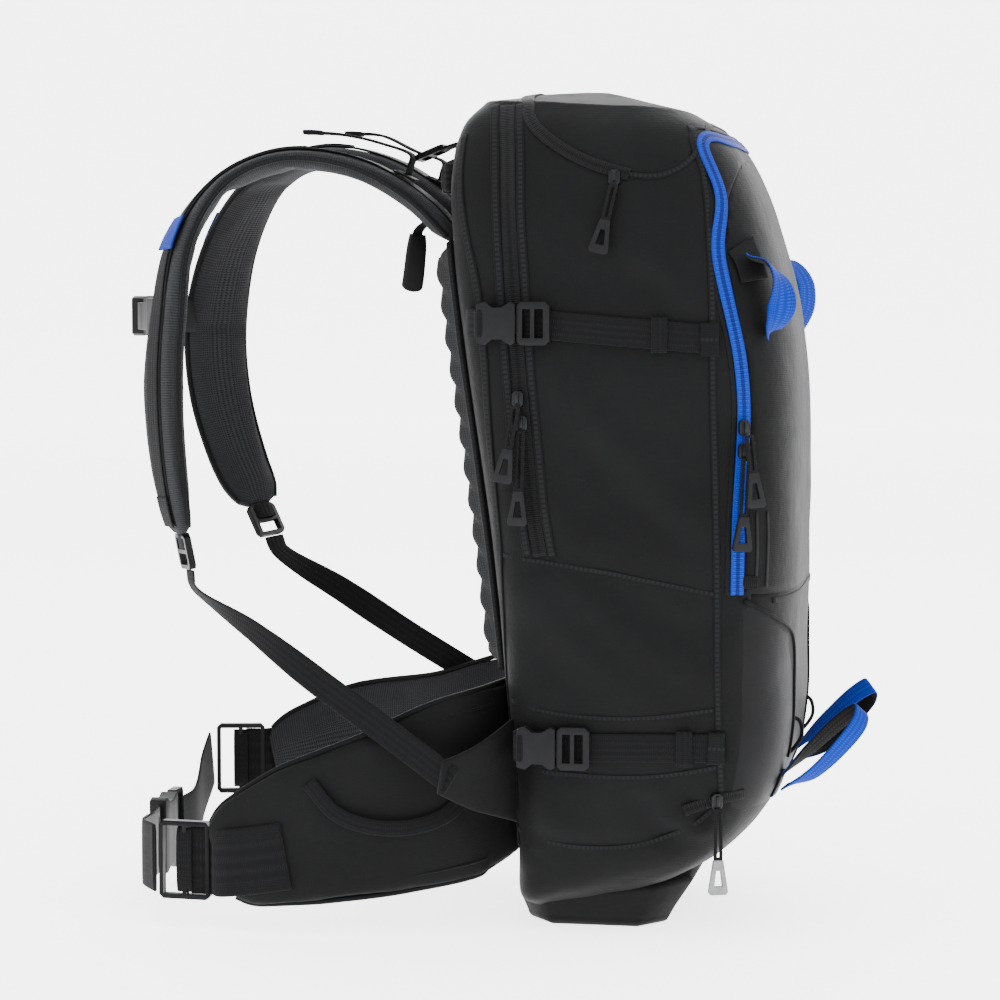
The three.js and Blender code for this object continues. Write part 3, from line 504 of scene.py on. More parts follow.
ZIP_LINE = [(127, 243), (128, 300), (131, 370), (128, 405), (119, 445), (112, 482), (113, 515), (120, 551)]
POCKET_LINE = [(-30, 591), (-30, 575), (-18, 562), (5, 547), (36, 534), (68, 531), (86, 541), (94, 560),
               (94, 600)]
FOLD_Z, TOP_ZIP_Z = 243.0, 551.0
MAIN_ZIP = [(-44, 582), (-40, 549), (-37, 500), (-33, 445), (-28.5, 390), (-23, 335), (-18, 293), (-14, 268)]
FRONT_SEAM = [(84, 566), (97, 528), (103, 473), (106, 377), (109, 267), (110, 170), (112, 104)]
BACK_SEAM = [(-72, 560), (-70, 500), (-58, 445), (-50, 340), (-43, 237), (-38, 120), (-33, 60)]
MIDDLE_SEAM = [(-42, 268), (28, 258), (110, 243)]
BASE_SEAM = [(-33, 72), (42, 64), (97, 84), (112, 99)]
BELT_BAND_TOP = [(-36, 165), (0, 158), (50, 156), (108, 163)]
BELT_BAND_FOOT = [(-36, 120), (0, 116), (60, 115), (110, 123)]
PANEL_CURVE = [(127, 239), (143.6, 227.6), (155.8, 208), (160, 170), (159, 134)]


def line_distance(line, x, z):
    """Distance in side view from a point to a polyline."""
    best = 1e9
    for (x0, z0), (x1, z1) in zip(line, line[1:]):
        dx, dz = x1 - x0, z1 - z0
        t = min(max(((x - x0) * dx + (z - z0) * dz) / (dx * dx + dz * dz), 0), 1)
        best = min(best, math.hypot(x - x0 - t * dx, z - z0 - t * dz))
    return best


def line_x(line, z):
    """Where a line that climbs stands at a height."""
    heights = [p[1] for p in line]
    reaches = [p[0] for p in line]
    if heights[0] > heights[-1]:
        heights, reaches = heights[::-1], reaches[::-1]
    return float(np.interp(z, heights, reaches))


def line_z(line, x):
    return float(np.interp(x, [p[0] for p in line], [p[1] for p in line]))


def in_front_panel(x, z):
    """Above nought inside the front panel, below nought outside it."""
    return min(x - line_x(ZIP_LINE, z), z - FOLD_Z, TOP_ZIP_Z - z)


def in_top_pocket(x, z):
    seam = line_z(POCKET_LINE[1:-1], x)
    return min(x + 30, 94 - x, z - seam)


# ---------------------------------------------------------------- the fabric bag

FOLDS = [
    # Each soft crease: start and end in side view, height and half width.
    ((10, 505), (85, 470), 2.2, 11), ((40, 520), (98, 440), 1.8, 10), ((-20, 470), (60, 450), -1.2, 14),
    ((-10, 395), (60, 330), 2.0, 13), ((10, 360), (75, 285), -2.0, 12), ((35, 345), (98, 290), 1.6, 10),
    ((-15, 320), (30, 270), 1.6, 12), ((-30, 250), (45, 180), 2.2, 13), ((5, 252), (95, 185), 2.0, 11),
    ((30, 255), (100, 215), -1.6, 10), ((-20, 215), (30, 165), -1.6, 12), ((70, 110), (96, 75), 2.0, 7),
    ((86, 114), (106, 84), -2.0, 6), ((55, 100), (80, 66), -1.5, 8), ((-25, 105), (20, 70), 1.6, 11),
    ((118, 225), (124, 120), 1.8, 7), ((40, 30), (110, 70), -1.2, 12),
]


FOLD_DEPTH = 1.35


def fold_relief(x, z):
    total = 0.0
    for (x0, z0), (x1, z1), height, half in FOLDS:
        dx, dz = x1 - x0, z1 - z0
        t = ((x - x0) * dx + (z - z0) * dz) / (dx * dx + dz * dz)
        ends = smooth_step(-0.25, 0.25, t) * (1 - smooth_step(0.75, 1.25, t))
        bow = 6 * math.sin(t * math.pi)
        away = ((x - x0) * dz - (z - z0) * dx) / math.hypot(dx, dz) - bow
        total += FOLD_DEPTH * height * ends * math.exp(-(away / half) ** 2)
    return total


GROOVES = [(MAIN_ZIP, 1.6, 9), (FRONT_SEAM, 1.5, 5), (BACK_SEAM, 1.6, 5), (MIDDLE_SEAM, 1.1, 5),
           (BASE_SEAM, 1.0, 5), (BELT_BAND_TOP, 1.0, 5), (BELT_BAND_FOOT, 1.0, 5)]
STRAP_RUNS = [((-66, 429), (108, 418), 16), ((-40, 135), (114, 137), 15)]


def skin_relief(point, outward):
    """How far the fabric stands off the plain body at a point: puff, creases, seams, straps."""
    x, y, z = point
    sideways = abs(outward.y)
    relief = 0.0
    sway = Vector((x / 70, y / 70, z / 60))
    relief += 1.5 * noise.noise(sway) * (0.4 + 0.6 * sideways)
    fine = Vector(((x + 0.55 * z) / 24, y / 60, (z - 0.55 * x) / 75))
    relief += 0.8 * noise.noise(fine)
    if sideways > 0.4:
        share = smooth_step(0.4, 0.8, sideways)
        mirrored = x + (0 if y < 0 else 6)
        relief += share * fold_relief(mirrored, z + (0 if y < 0 else 8))
        for line, depth, half in GROOVES:
            relief -= share * depth * math.exp(-(line_distance(line, x, z) / half) ** 2)
        for (x0, z0), (x1, z1), half in STRAP_RUNS:
            if x0 < x < x1:
                middle = z0 + (z1 - z0) * (x - x0) / (x1 - x0)
                press = 1 - smooth_step(half * 0.6, half * 1.3, abs(z - middle))
                relief = relief * (1 - press) - 0.9 * press
    if x < -30:
        calm = smooth_step(-30, -60, x) if x > -60 else 1.0
        relief = relief * (1 - 0.85 * calm) - 0.2 * calm
    if z < 30:
        relief *= smooth_step(10, 30, z)
    return min(max(relief, -3.2), 3.4)


def split_along(bm, field):
    """Cuts the faces where a field passes nought, so a line falls on edges."""
    values = {v: field(*v.co) for v in bm.verts}
    made = []
    for edge in list(bm.edges):
        a, b = edge.verts
        fa, fb = values[a], values[b]
        if (fa > 0) == (fb > 0) or min(abs(fa), abs(fb)) < 1e-4:
            continue
        _, vertex = bmesh.utils.edge_split(edge, a, fa / (fa - fb))
        values[vertex] = 0.0
        made.append(vertex)
    on_line = [v for v, value in values.items() if abs(value) < 1e-4]
    bmesh.ops.connect_verts(bm, verts=on_line, check_degenerate=True)


def bag_mesh(around=132, rings=104, cap_rings=12):
    """The whole closed bag as one smooth skin, shaped from a sphere's rings."""
    bm = bmesh.new()
    total = rings + 2 * cap_rings
    bmesh.ops.create_uvsphere(bm, u_segments=around, v_segments=total, radius=1)
    turns = even_turns(around)
    for v in bm.verts:
        ring = round(math.acos(max(-1, min(1, -v.co.z))) / math.pi * total)
        spin = round((math.atan2(v.co.y, v.co.x) % (2 * math.pi)) / (2 * math.pi) * around) % around
        if ring <= cap_rings:
            share, reach = 0.0, math.sin(ring / cap_rings * math.pi / 2)
        elif ring >= total - cap_rings:
            share, reach = 1.0, math.sin((total - ring) / cap_rings * math.pi / 2)
        else:
            share, reach = (ring - cap_rings) / rings, 1.0
        v.co = body_point(share, turns[spin], reach)
    bmesh.ops.recalc_face_normals(bm, faces=bm.faces)
    for _ in range(2):
        rim = [v for v in bm.verts if v.co.z > 560 or v.co.z < 45]
        bmesh.ops.smooth_vert(bm, verts=rim, factor=0.5, use_axis_x=True, use_axis_y=True, use_axis_z=True)
    return bm


def make_bag():
    """The shell, the front panel and the top pocket, cut from one skin along their seams."""
    bm = bag_mesh()
    split_along(bm, lambda x, y, z: in_front_panel(x, z))
    split_along(bm, lambda x, y, z: in_top_pocket(x, z))
    split_along(bm, coated_region)
    bm.normal_update()
    moves = [(v, v.normal.copy(), skin_relief(v.co, v.normal)) for v in bm.verts]
    for v, outward, relief in moves:
        v.co += outward * relief
    bmesh.ops.recalc_face_normals(bm, faces=bm.faces)
    bm.faces.ensure_lookup_table()
    region = []
    for face in bm.faces:
        middle = face.calc_center_median()
        if in_front_panel(middle.x, middle.z) > 0:
            region.append("panel")
        elif in_top_pocket(middle.x, middle.z) > 0:
            region.append("pocket")
        elif coated_region(*middle) > 0:
            region.append("coated")
        else:
            region.append("shell")
    pieces = {}
    for name, keep in (("bag_shell", ("shell", "coated")), ("front_flap", ("panel",)),
                       ("goggle_pocket", ("pocket",))):
        part = bm.copy()
        part.faces.ensure_lookup_table()
        for face, where in zip(part.faces, region):
            face.material_index = 1 if where == "coated" else 0
        bmesh.ops.delete(part, geom=[f for f, where in zip(part.faces, region) if where not in keep],
                         context="FACES")
        pieces[name] = part
    bm.free()
    return pieces


def coated_region(x, y, z):
    """Above nought on the smooth coated corners of the lower front."""
    behind = x - line_x([(127, 239), (126, 150), (118, 96)], z)
    above = line_z([(100, 262), (127, 239), (143.6, 227.6), (155.8, 208), (220, 208)], x) - z
    inside = abs(y) - line_x([(88, 208), (66, 170), (62, 120), (60, 92)], z)
    return min(behind, above, inside, z - 92)


def add_solidify(piece, thickness, offset=-1):
    wall = piece.modifiers.new("cloth_thickness", "SOLIDIFY")
    wall.thickness = thickness * MM
    wall.offset = offset
    wall.use_rim = True


def skin_tree(bm):
    return BVHTree.FromBMesh(bm)


parts = make_bag()
joined = bmesh.new()
for part in parts.values():
    scratch = bpy.data.meshes.new("scratch")
    part.to_mesh(scratch)
    joined.from_mesh(scratch)
    bpy.data.meshes.remove(scratch)
SKIN = skin_tree(joined)
joined.free()

set_up_studio()
for name, node, body, slot, finish, thick in (
        ("bag_shell", "main_shell", "pack", "shell_fabric", (SHELL, COATED), 2.6),
        ("front_flap", "front_panel", "front_panel", "shell_fabric", (SHELL,), 4.0),
        ("goggle_pocket", "top_pocket", "pack", "shell_fabric", (POCKET,), 4.0)):
    part = parts[name]
    piece = new_object(name, part, finish)
    add_solidify(piece, thick)
    finish_piece(piece, body, slot, node)


# ---------------------------------------------------------------- bands

def unit(v):
    v = np.asarray(v, float)
    return v / max(np.linalg.norm(v), 1e-9)


def band(name, route, across, width, thick, finish, steps=60, around=20, squareness=5.0, inner=None):
    """A closed band along a route, with UV metres along it and across it.

    across is one vector or one for each route point, or a function of the share along.
    inner is a second finish for the face that looks along the across-by-along direction."""
    bm = bmesh.new()
    uv = bm.loops.layers.uv.new("UVMap")
    bmesh.ops.create_grid(bm, x_segments=steps, y_segments=around, size=0.5)
    fine = even(route, 200)
    run = float(np.linalg.norm(np.diff(fine, axis=0), axis=1).sum())
    wide = width if callable(width) else (lambda s: width)
    deep = thick if callable(thick) else (lambda s: thick)

    def sideways(s):
        if callable(across):
            return across(s)
        vectors = np.asarray(across, float)
        return vectors if vectors.ndim == 1 else through(vectors, s)

    for face in bm.faces:
        middle = face.calc_center_median()
        for loop in face.loops:
            s, a = loop.vert.co.x + 0.5, (loop.vert.co.y + 0.5) * 2 * math.pi
            edge = math.asin(max(-1, min(1, math.cos(a)))) / (math.pi / 2)
            loop[uv].uv = (s * run * MM, wide(0.5) / 2 * edge * MM)
        if inner is not None and middle.y < 0:
            face.material_index = 1
    for v in bm.verts:
        s, a = v.co.x + 0.5, (v.co.y + 0.5) * 2 * math.pi
        here = through(route, s)
        tangent = unit(through(route, min(1, s + 1e-3)) - through(route, max(0, s - 1e-3)))
        w = sideways(s)
        w = unit(w - tangent * np.dot(w, tangent))
        n = np.cross(w, tangent)
        across_share = squared(math.cos(a), squareness) / 2
        deep_share = squared(math.sin(a), squareness) / 2
        v.co = Vector(here + w * across_share * wide(s) + n * deep_share * deep(s))
    bmesh.ops.remove_doubles(bm, verts=bm.verts, dist=0.01)
    bmesh.ops.holes_fill(bm, edges=[e for e in bm.edges if e.is_boundary], sides=0)
    bmesh.ops.recalc_face_normals(bm, faces=bm.faces)
    finishes = (finish,) if inner is None else (finish, inner)
    return new_object(name, bm, finishes)


def on_skin(guesses, count, lift=0.0):
    """Points on the bag nearest to a smooth line of guesses, lifted, and the skin's normals there."""
    points, normals = [], []
    for guess in even(guesses, count):
        found = SKIN.find_nearest(Vector(guess))
        points.append(np.array(found[0] + found[1] * lift))
        normals.append(np.array(found[1]))
    for _ in range(2):
        smooth = [normals[0]] + [unit(a + 2 * b + c) for a, b,
                                 c in zip(normals, normals[1:], normals[2:])] + [normals[-1]]
        normals = smooth
        points = [points[0]] + [(a + 2 * b + c) / 4 for a, b,
                                c in zip(points, points[1:], points[2:])] + [points[-1]]
    return points, normals


def strip(name, guesses, width, thick, finish, body="pack", slot="shell_fabric", lift=0.6, count=None,
          nodes=(), around=14):
    """A flat band that lies on the bag along a line of guesses."""
    rough = even(guesses, 50)
    run = float(np.linalg.norm(np.diff(rough, axis=0), axis=1).sum())
    count = count or max(6, int(run / 6))
    points, normals = on_skin(guesses, count, lift)
    tangents = [unit(b - a) for a, b in zip(points[:1] + points[:-1], points[1:] + points[-1:])]
    across = [np.cross(t, n) for t, n in zip(tangents, normals)]
    piece = band(name, points, across, width, thick, finish, steps=max(8, int(run / 3.5)), around=around)
    return finish_piece(piece, body, slot, *nodes)


# ---------------------------------------------------------------- zips and seams on the bag

def guesses_on(line, side):
    return [(x, side * (abs(side_y(x, z)) + 1), z) for x, z in line]


def front_crossing(z, half, count=7):
    """Guesses straight across the front at a height."""
    found = []
    for i in range(count):
        y = -half + 2 * half * i / (count - 1)
        found.append((front_x(y, z), y, z))
    return found


def front_zip_line(shift):
    """Up the left side, over the top of the front panel and down the right side."""
    climb = [(x - shift, z) for x, z in ZIP_LINE[:-1]]
    left, right = guesses_on(climb, LEFT), guesses_on(climb, RIGHT)
    return left + front_crossing(TOP_ZIP_Z + shift - 1, 96) + right[::-1]


def sew_zips_and_seams():
    strip("front_zip_tape", front_zip_line(4.6), 9.6, 1.5, ZIP_BLUE, slot="blue_zip", lift=0.7,
          nodes=("front_zip",))
    strip("front_zip_binding", front_zip_line(11), 3.0, 1.2, HARNESS, lift=0.4)
    for name, side in SIDES.items():
        strip(f"main_zip_tape_{name}", guesses_on(MAIN_ZIP, side), 11, 1.0, ZIP_BLACK, lift=0.3)
        for label, shift in (("front", 9), ("back", -9)):
            edge = [(x + shift, z) for x, z in MAIN_ZIP]
            strip(f"main_zip_flange_{label}_{name}", guesses_on(edge, side), 6, 1.4, BINDING, lift=0.5)
        strip(f"front_seam_{name}", guesses_on(FRONT_SEAM, side), 5, 1.2, BINDING, lift=0.4)
        strip(f"back_seam_{name}", guesses_on(BACK_SEAM, side), 6, 1.6, BINDING, lift=0.5)
        strip(f"middle_seam_{name}", guesses_on(MIDDLE_SEAM, side), 3.4, 0.9, BINDING, lift=0.3)
        strip(f"base_seam_{name}", guesses_on(BASE_SEAM, side), 3.4, 0.9, BINDING, lift=0.3)
        strip(f"belt_band_seam_top_{name}", guesses_on(BELT_BAND_TOP, side), 3.4, 0.9, BINDING, lift=0.3)
        strip(f"belt_band_seam_foot_{name}", guesses_on(BELT_BAND_FOOT, side), 3.4, 0.9, BINDING, lift=0.3)
        coated = [(x + 0.5, z) for x, z in PANEL_CURVE]
        strip(f"coated_panel_piping_{name}", guesses_on(coated[:-2], side) + [(159, side * 66, 170),
                                                                              (157, side * 62, 120)],
              2.6, 2.2, HARNESS, lift=0.6, around=10)
        base_zip = [(86, 92), (100, 96), (112, 101), (126, 104)]
        strip(f"base_zip_tape_{name}", guesses_on(base_zip, side), 8, 1.2, ZIP_BLACK, lift=0.6)
    pocket = [(-29, 583), (-27, 571), (-17, 560), (5, 546), (28, 537), (46, 531)]
    far = guesses_on(pocket, RIGHT)
    back = [(-34, y, 597) for y in (-70, -35, 0, 35, 70)]
    strip("top_zip_tape", guesses_on(pocket, LEFT)[::-1] + back + far, 9, 1.3, ZIP_BLACK, lift=0.7)
    lid = [(46, 531), (68, 530), (86, 540), (94, 558)]
    front = [(97, y, 572) for y in (-60, 0, 60)]
    strip("lid_seam", guesses_on(lid, LEFT) + front + guesses_on(lid, RIGHT)[::-1], 4, 1.3, BINDING, lift=0.4)
    strip("flap_foot_seam", front_crossing(FOLD_Z - 5, 112, 9), 4, 1.1, BINDING, lift=0.4)


# ---------------------------------------------------------------- moulded pieces from the frame

RECORD = frame["record"]
SLOT_OF = {part["node"]: part["material_slot"] for part in RECORD["subparts"]}
BODY_OF = {node: body for body, nodes in RECORD["behaviour"]["bodies"].items() for node in nodes}


def rounded(node, finish, edge=0.6, second=None, is_second=None):
    """A CAD node's shape with its moulded edges eased; second is a finish for some faces."""
    bm = bmesh.new()
    bm.from_mesh(frame["nodes"][node].data)
    bmesh.ops.scale(bm, vec=(1 / MM,) * 3, verts=bm.verts)
    bmesh.ops.remove_doubles(bm, verts=bm.verts, dist=0.005)
    bmesh.ops.dissolve_limit(bm, angle_limit=math.radians(1.5), verts=bm.verts, edges=bm.edges)
    sharp = [e for e in bm.edges if len(e.link_faces) == 2 and e.calc_face_angle(0) > math.radians(32)]
    bmesh.ops.bevel(bm, geom=sharp, offset=edge, offset_type="OFFSET", segments=3, profile=0.5,
                    affect="EDGES", material=-1, clamp_overlap=True)
    bmesh.ops.triangulate(bm, faces=[f for f in bm.faces if len(f.verts) > 4])
    bmesh.ops.recalc_face_normals(bm, faces=bm.faces)
    if second is not None:
        for face in bm.faces:
            face.material_index = 1 if is_second(face.calc_center_median(), face.normal) else 0
    finishes = (finish,) if second is None else (finish, second)
    piece = new_object(f"{node}_moulded", bm, finishes)
    piece.data.set_sharp_from_angle(angle=math.radians(38))
    return finish_piece(piece, BODY_OF[node], SLOT_OF[node], node)


PULL_TIP = 24.0


def make_moulded_pieces():
    for level in ("upper", "lower"):
        for name in SIDES:
            rounded(f"{level}_side_socket_{name}", PLASTIC, 0.9)
            rounded(f"{level}_side_plug_{name}", PLASTIC, 0.8)
    for name in SIDES:
        rounded(f"strap_lock_{name}", PLASTIC, 0.9)
        rounded(f"lifter_lock_{name}", PLASTIC, 0.7)
        rounded(f"waist_lock_{name}", PLASTIC, 1.2)
    rounded("sternum_socket", PLASTIC, 0.9)
    rounded("sternum_plug", PLASTIC, 0.9)
    rounded("waist_socket", PLASTIC, 1.2)
    rounded("waist_plug", PLASTIC, 1.2)
    for zip_name in ("main_zip_upper", "main_zip_lower", "front_zip_upper", "front_zip_lower", "top_zip",
                     "base_zip"):
        rounded(f"{zip_name}_slider", LACQUER, 0.5)
        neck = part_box(f"{zip_name}_pull")[0].z / MM + PULL_TIP + 0.5
        tip = GRIP_PALE if zip_name == "base_zip" else GRIP
        rounded(f"{zip_name}_pull", tip, 0.75, CORD, lambda c, n: c.z > neck)
    for node, finish in (("divider", LINING), ("frame_sheet", SHEET), ("frame_rod", ROD)):
        materials = frame["nodes"][node].data.materials
        materials.clear()
        materials.append(finish)


# ---------------------------------------------------------------- webbing

UPPER_STRAP = {"z": 429.0, "mouth": -30.0, "tail": -66.0, "end": 106.0, "drop": 11.0}
LOWER_STRAP = {"z": 135.0, "mouth": -2.0, "tail": -31.0, "end": 112.0, "drop": -2.0}
WEB = 20.0
BUCKLE_LENGTH = 27.0


def side_straps():
    """The side compression webs, their anchors behind the sockets, keepers and end tacks."""
    for level, strap in (("upper", UPPER_STRAP), ("lower", LOWER_STRAP)):
        z, mouth = strap["z"], strap["mouth"]
        for name, side in SIDES.items():
            start, end = mouth + 13, strap["end"]

            def height(x):
                return z - strap["drop"] * (x - mouth - 6) / (end - mouth - 6)

            run = [(start + (end - start) * i / 6) for i in range(7)]
            line = guesses_on([(x, height(x)) for x in run], side)
            strip(f"{level}_side_webbing_{name}", line, WEB, 1.7, WEB_BLACK, slot="black_webbing", lift=2.4,
                  nodes=(f"{level}_side_web_{name}",), around=16)
            keeper_x = end - (37 if level == "upper" else 25)
            keeper = guesses_on([(keeper_x, height(keeper_x) - 12.5), (keeper_x, height(keeper_x)),
                                 (keeper_x, height(keeper_x) + 12.5)], side)
            strip(f"{level}_side_keeper_{name}", keeper, 11, 1.3, WEB_BLACK, slot="black_webbing", lift=4.2,
                  around=12)
            tack = guesses_on([(end - 9, height(end)), (end + 3, height(end))], side)
            strip(f"{level}_side_tack_{name}", tack, WEB + 3, 1.2, BINDING, slot="black_webbing", lift=3.6,
                  around=12)
            low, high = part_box(f"{level}_side_socket_{name}")
            face = side * (max(abs(low.y), abs(high.y)) / MM - 4.0)
            bar = mouth - BUCKLE_LENGTH
            skin = side * abs(side_y(strap["tail"], z))
            route = [(bar + 4.5, face - side * 2.4, z), (bar - 1, face - side * 3.0, z),
                     ((bar + strap["tail"]) / 2 - 2, (face + skin) / 2 + side * 1.0, z),
                     (strap["tail"] - 1, skin + side * 1.6, z)]
            anchor = band(f"{level}_side_anchor_{name}", route, (0, 0, 1), WEB + 0.6, 2.4, WEB_BLACK, steps=26)
            finish_piece(anchor, "pack", "black_webbing")
            wrap = [(bar + 5.5, face + side * 3.2, z), (bar + 1.2, face + side * 3.6, z), (bar - 1.6, face, z),
                    (bar + 1.2, face - side * 3.4, z), (bar + 5.5, face - side * 3.0, z)]
            turn = band(f"{level}_side_wrap_{name}", wrap, (0, 0, 1), WEB - 0.6, 1.3, WEB_BLACK, steps=26)
            finish_piece(turn, "pack", "black_webbing")


ROOT = np.array([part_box("shoulder_strap_left")[1].x / MM - 1.9, 60.0, 487.0])
STRAP_OFFSETS = {
    "left": [(0, 0, 0), (-30, 2, 29), (-72, 6, 52), (-124, 10, 58), (-168, 17, 40), (-196, 29, 0),
             (-206, 36, -58), (-208, 39, -112), (-204, 38, -165), (-196, 35, -209)],
    "right": [(0, 0, 0), (-30, 2, 29), (-72, 5, 56), (-124, 8, 67), (-172, 15, 50), (-205, 26, 6),
              (-222, 35, -56), (-220, 36, -112), (-205, 33, -164), (-186, 26, -201)],
}
STRAP_ACROSS = [(0, 1), (0.02, 1), (0.05, 1), (0.1, 1), (0.25, 0.95), (0.45, 0.88), (0.6, 0.8), (0.62, 0.78),
                (0.58, 0.8), (0.5, 0.85)]
STRAP_WIDTH = 62.0
STRAP_THICK = 14.0


def strap_route(name):
    side = SIDES[name]
    return [np.array([ROOT[0] + dx, side * (ROOT[1] + dy), ROOT[2] + dz]) for dx, dy, dz in STRAP_OFFSETS[name]]


def end_round(full, start_share, end_share, reach):
    """Full size along the middle, drawn in over the last few percent of each end."""
    def size(s):
        near, far = min(1, s / reach), min(1, (1 - s) / reach)
        start = start_share + (1 - start_share) * math.sqrt(max(0, 1 - (1 - near) ** 2))
        end = end_share + (1 - end_share) * math.sqrt(max(0, 1 - (1 - far) ** 2))
        return full(s) * min(start, end)
    return size


def puff(piece, cap, frames=16, pressure=3.5):
    """Stuffs a closed cloth piece with a short cloth run, keeping each point within cap."""
    scene = bpy.context.scene
    cloth = piece.modifiers.new("stuffing", "CLOTH")
    cloth.settings.use_pressure = True
    cloth.settings.uniform_pressure_force = pressure
    cloth.settings.effector_weights.gravity = 0
    cloth.settings.quality = 4
    cloth.settings.tension_stiffness = 20
    cloth.settings.compression_stiffness = 20
    cloth.settings.bending_stiffness = 1.5
    cloth.point_cache.frame_start = 1
    cloth.point_cache.frame_end = frames
    for f in range(1, frames + 1):
        scene.frame_set(f)
    shaped = piece.evaluated_get(bpy.context.evaluated_depsgraph_get())
    after = [v.co.copy() for v in shaped.data.vertices]
    piece.modifiers.remove(cloth)
    scene.frame_set(1)
    for v, new in zip(piece.data.vertices, after):
        step = new - v.co
        if step.length > cap * MM:
            step *= cap * MM / step.length
        v.co += step


def edge_piping(name, route, across, width, size, finish, body, slot, sign, shift=0.0):
    """A corded edge along one side of a band."""
    count = 40
    points, fine = [], []
    for i in range(count + 1):
        s = 0.012 + 0.976 * i / count
        here = through(route, s)
        tangent = unit(through(route, min(1, s + 1e-3)) - through(route, max(0, s - 1e-3)))
        w = across(s) if callable(across) else (np.asarray(across,
                                                           float) if np.ndim(across) == 1 else through(across, s))
        w = unit(w - tangent * np.dot(w, tangent))
        n = np.cross(w, tangent)
        points.append(here + w * sign * (width(s) / 2 - 0.2) + n * shift)
        fine.append(n)
    piece = band(name, points, fine, size, size, finish, steps=110, around=10, squareness=2.0)
    return finish_piece(piece, body, slot)


def shoulder_straps():
    for name, side in SIDES.items():
        route = strap_route(name)
        flip = 1 if side == LEFT else -1
        across = [(flip * x, -y, 0) for x, y in STRAP_ACROSS]
        width = end_round(lambda s: STRAP_WIDTH * (1 - 0.14 * s), 0.9, 0.45, 0.07)
        thick = end_round(lambda s: STRAP_THICK, 0.45, 0.5, 0.06)
        pad = band(f"shoulder_pad_{name}", route, across, width, lambda s: thick(s) * 0.86, MESH, steps=110,
                   around=36,
                   squareness=3.2)
        puff(pad, 1.6)
        finish_piece(pad, "pack", "harness_mesh", f"shoulder_strap_{name}")
        for label, sign in (("outer", 1), ("inner", -1)):
            edge_piping(f"shoulder_piping_{label}_{name}", route, across, width, 4.4, BINDING, "pack",
                        "shell_fabric", sign)

        def raised(s0, s1, count, lift):
            out, sideways = [], []
            for i in range(count + 1):
                s = s0 + (s1 - s0) * i / count
                here = through(route, s)
                tangent = unit(through(route, min(1, s + 1e-3)) - through(route, max(0, s - 1e-3)))
                w = through(np.asarray(across, float), s)
                w = unit(w - tangent * np.dot(w, tangent))
                n = np.cross(w, tangent)
                out.append(here - n * (thick(s) / 2 + lift))
                sideways.append(w)
            return out, sideways

        cover, sideways = raised(0.02, 0.985, 40, 0.5)
        face = band(f"shoulder_face_band_{name}", cover, sideways, lambda s: 27 * (1 - 0.1 * s), 1.8,
                    HARNESS, steps=120, around=16)
        finish_piece(face, "pack", "shell_fabric")
        rail, sideways = raised(0.30, 0.97, 36, 1.9)
        web = band(f"shoulder_face_web_{name}", rail, sideways, WEB, 1.5, WEB_BLACK, steps=110, around=16)
        finish_piece(web, "pack", "black_webbing")
        hose_share = 0.55
        loop, sideways = raised(hose_share - 0.024, hose_share + 0.024, 8, 3.2)
        hose = band(f"hose_loop_{name}", loop, sideways, 40, 1.7, WEB_BLUE, steps=16, around=20)
        finish_piece(hose, "pack", "blue_webbing")
        tack, sideways = raised(0.93, 0.985, 6, 2.6)
        sewn = band(f"strap_end_tack_{name}", tack, sideways, 24, 1.6, WEB_BLACK, steps=14, around=14)
        finish_piece(sewn, "pack", "black_webbing")


ANCHOR_Z, ANCHOR_X = 115.0, -35.0
TIP_REACH, TIP_OUT = 34.0, 62.0
LOCK_LENGTH = 26.0


def lower_webs():
    """From each strap's end to the bag's lower corner, with the sewn stabiliser wing."""
    for name, side in SIDES.items():
        route = strap_route(name)
        end = route[-1]
        along = unit(end - route[-2])
        across = np.array([0.5, side * 0.85, 0])
        wall = abs(side_y(ANCHOR_X, ANCHOR_Z))
        seam = np.array([ANCHOR_X, side * (wall + 2), ANCHOR_Z])
        tip = np.array([ANCHOR_X - TIP_REACH, side * (wall + TIP_OUT), ANCHOR_Z])
        start = end + along * (LOCK_LENGTH + 2.2)
        leave = start + along * 12

        def at(t, sag):
            return leave + (tip - leave) * t - np.array([0, 0, sag])

        points = [start, leave, at(0.25, 0), at(0.5, 1), at(0.75, 0), tip]
        flat = np.array([0.55, 0, 0.83])
        twist = [across, across, (0.55, side * 0.5, 0.5), flat, flat, flat]
        web = band(f"strap_webbing_{name}", points, twist, WEB, 1.7, WEB_BLACK, steps=120, around=16)
        finish_piece(web, "pack", "black_webbing", f"lower_web_{name}")
        lean = [(0.25, 0, 1), (0.1, 0, 1), (0, 0, 1)]
        wing_route = [tip + np.array([-8, 0, 3]), tip + (seam - tip) * 0.4, seam]
        wing = band(f"stabiliser_{name}", wing_route, lean, lambda s: 24 + 52 * s, 3.4, HARNESS, steps=36,
                    around=20, squareness=7)
        puff(wing, 0.8)
        finish_piece(wing, "pack", "shell_fabric")
        lock_wrap = band(f"strap_lock_wrap_{name}", [end + along * 1, end + along * 6, end + along * 12],
                         across, WEB - 1, 6.4,
                         WEB_BLACK, steps=14, around=16, squareness=4)
        finish_piece(lock_wrap, "pack", "black_webbing")



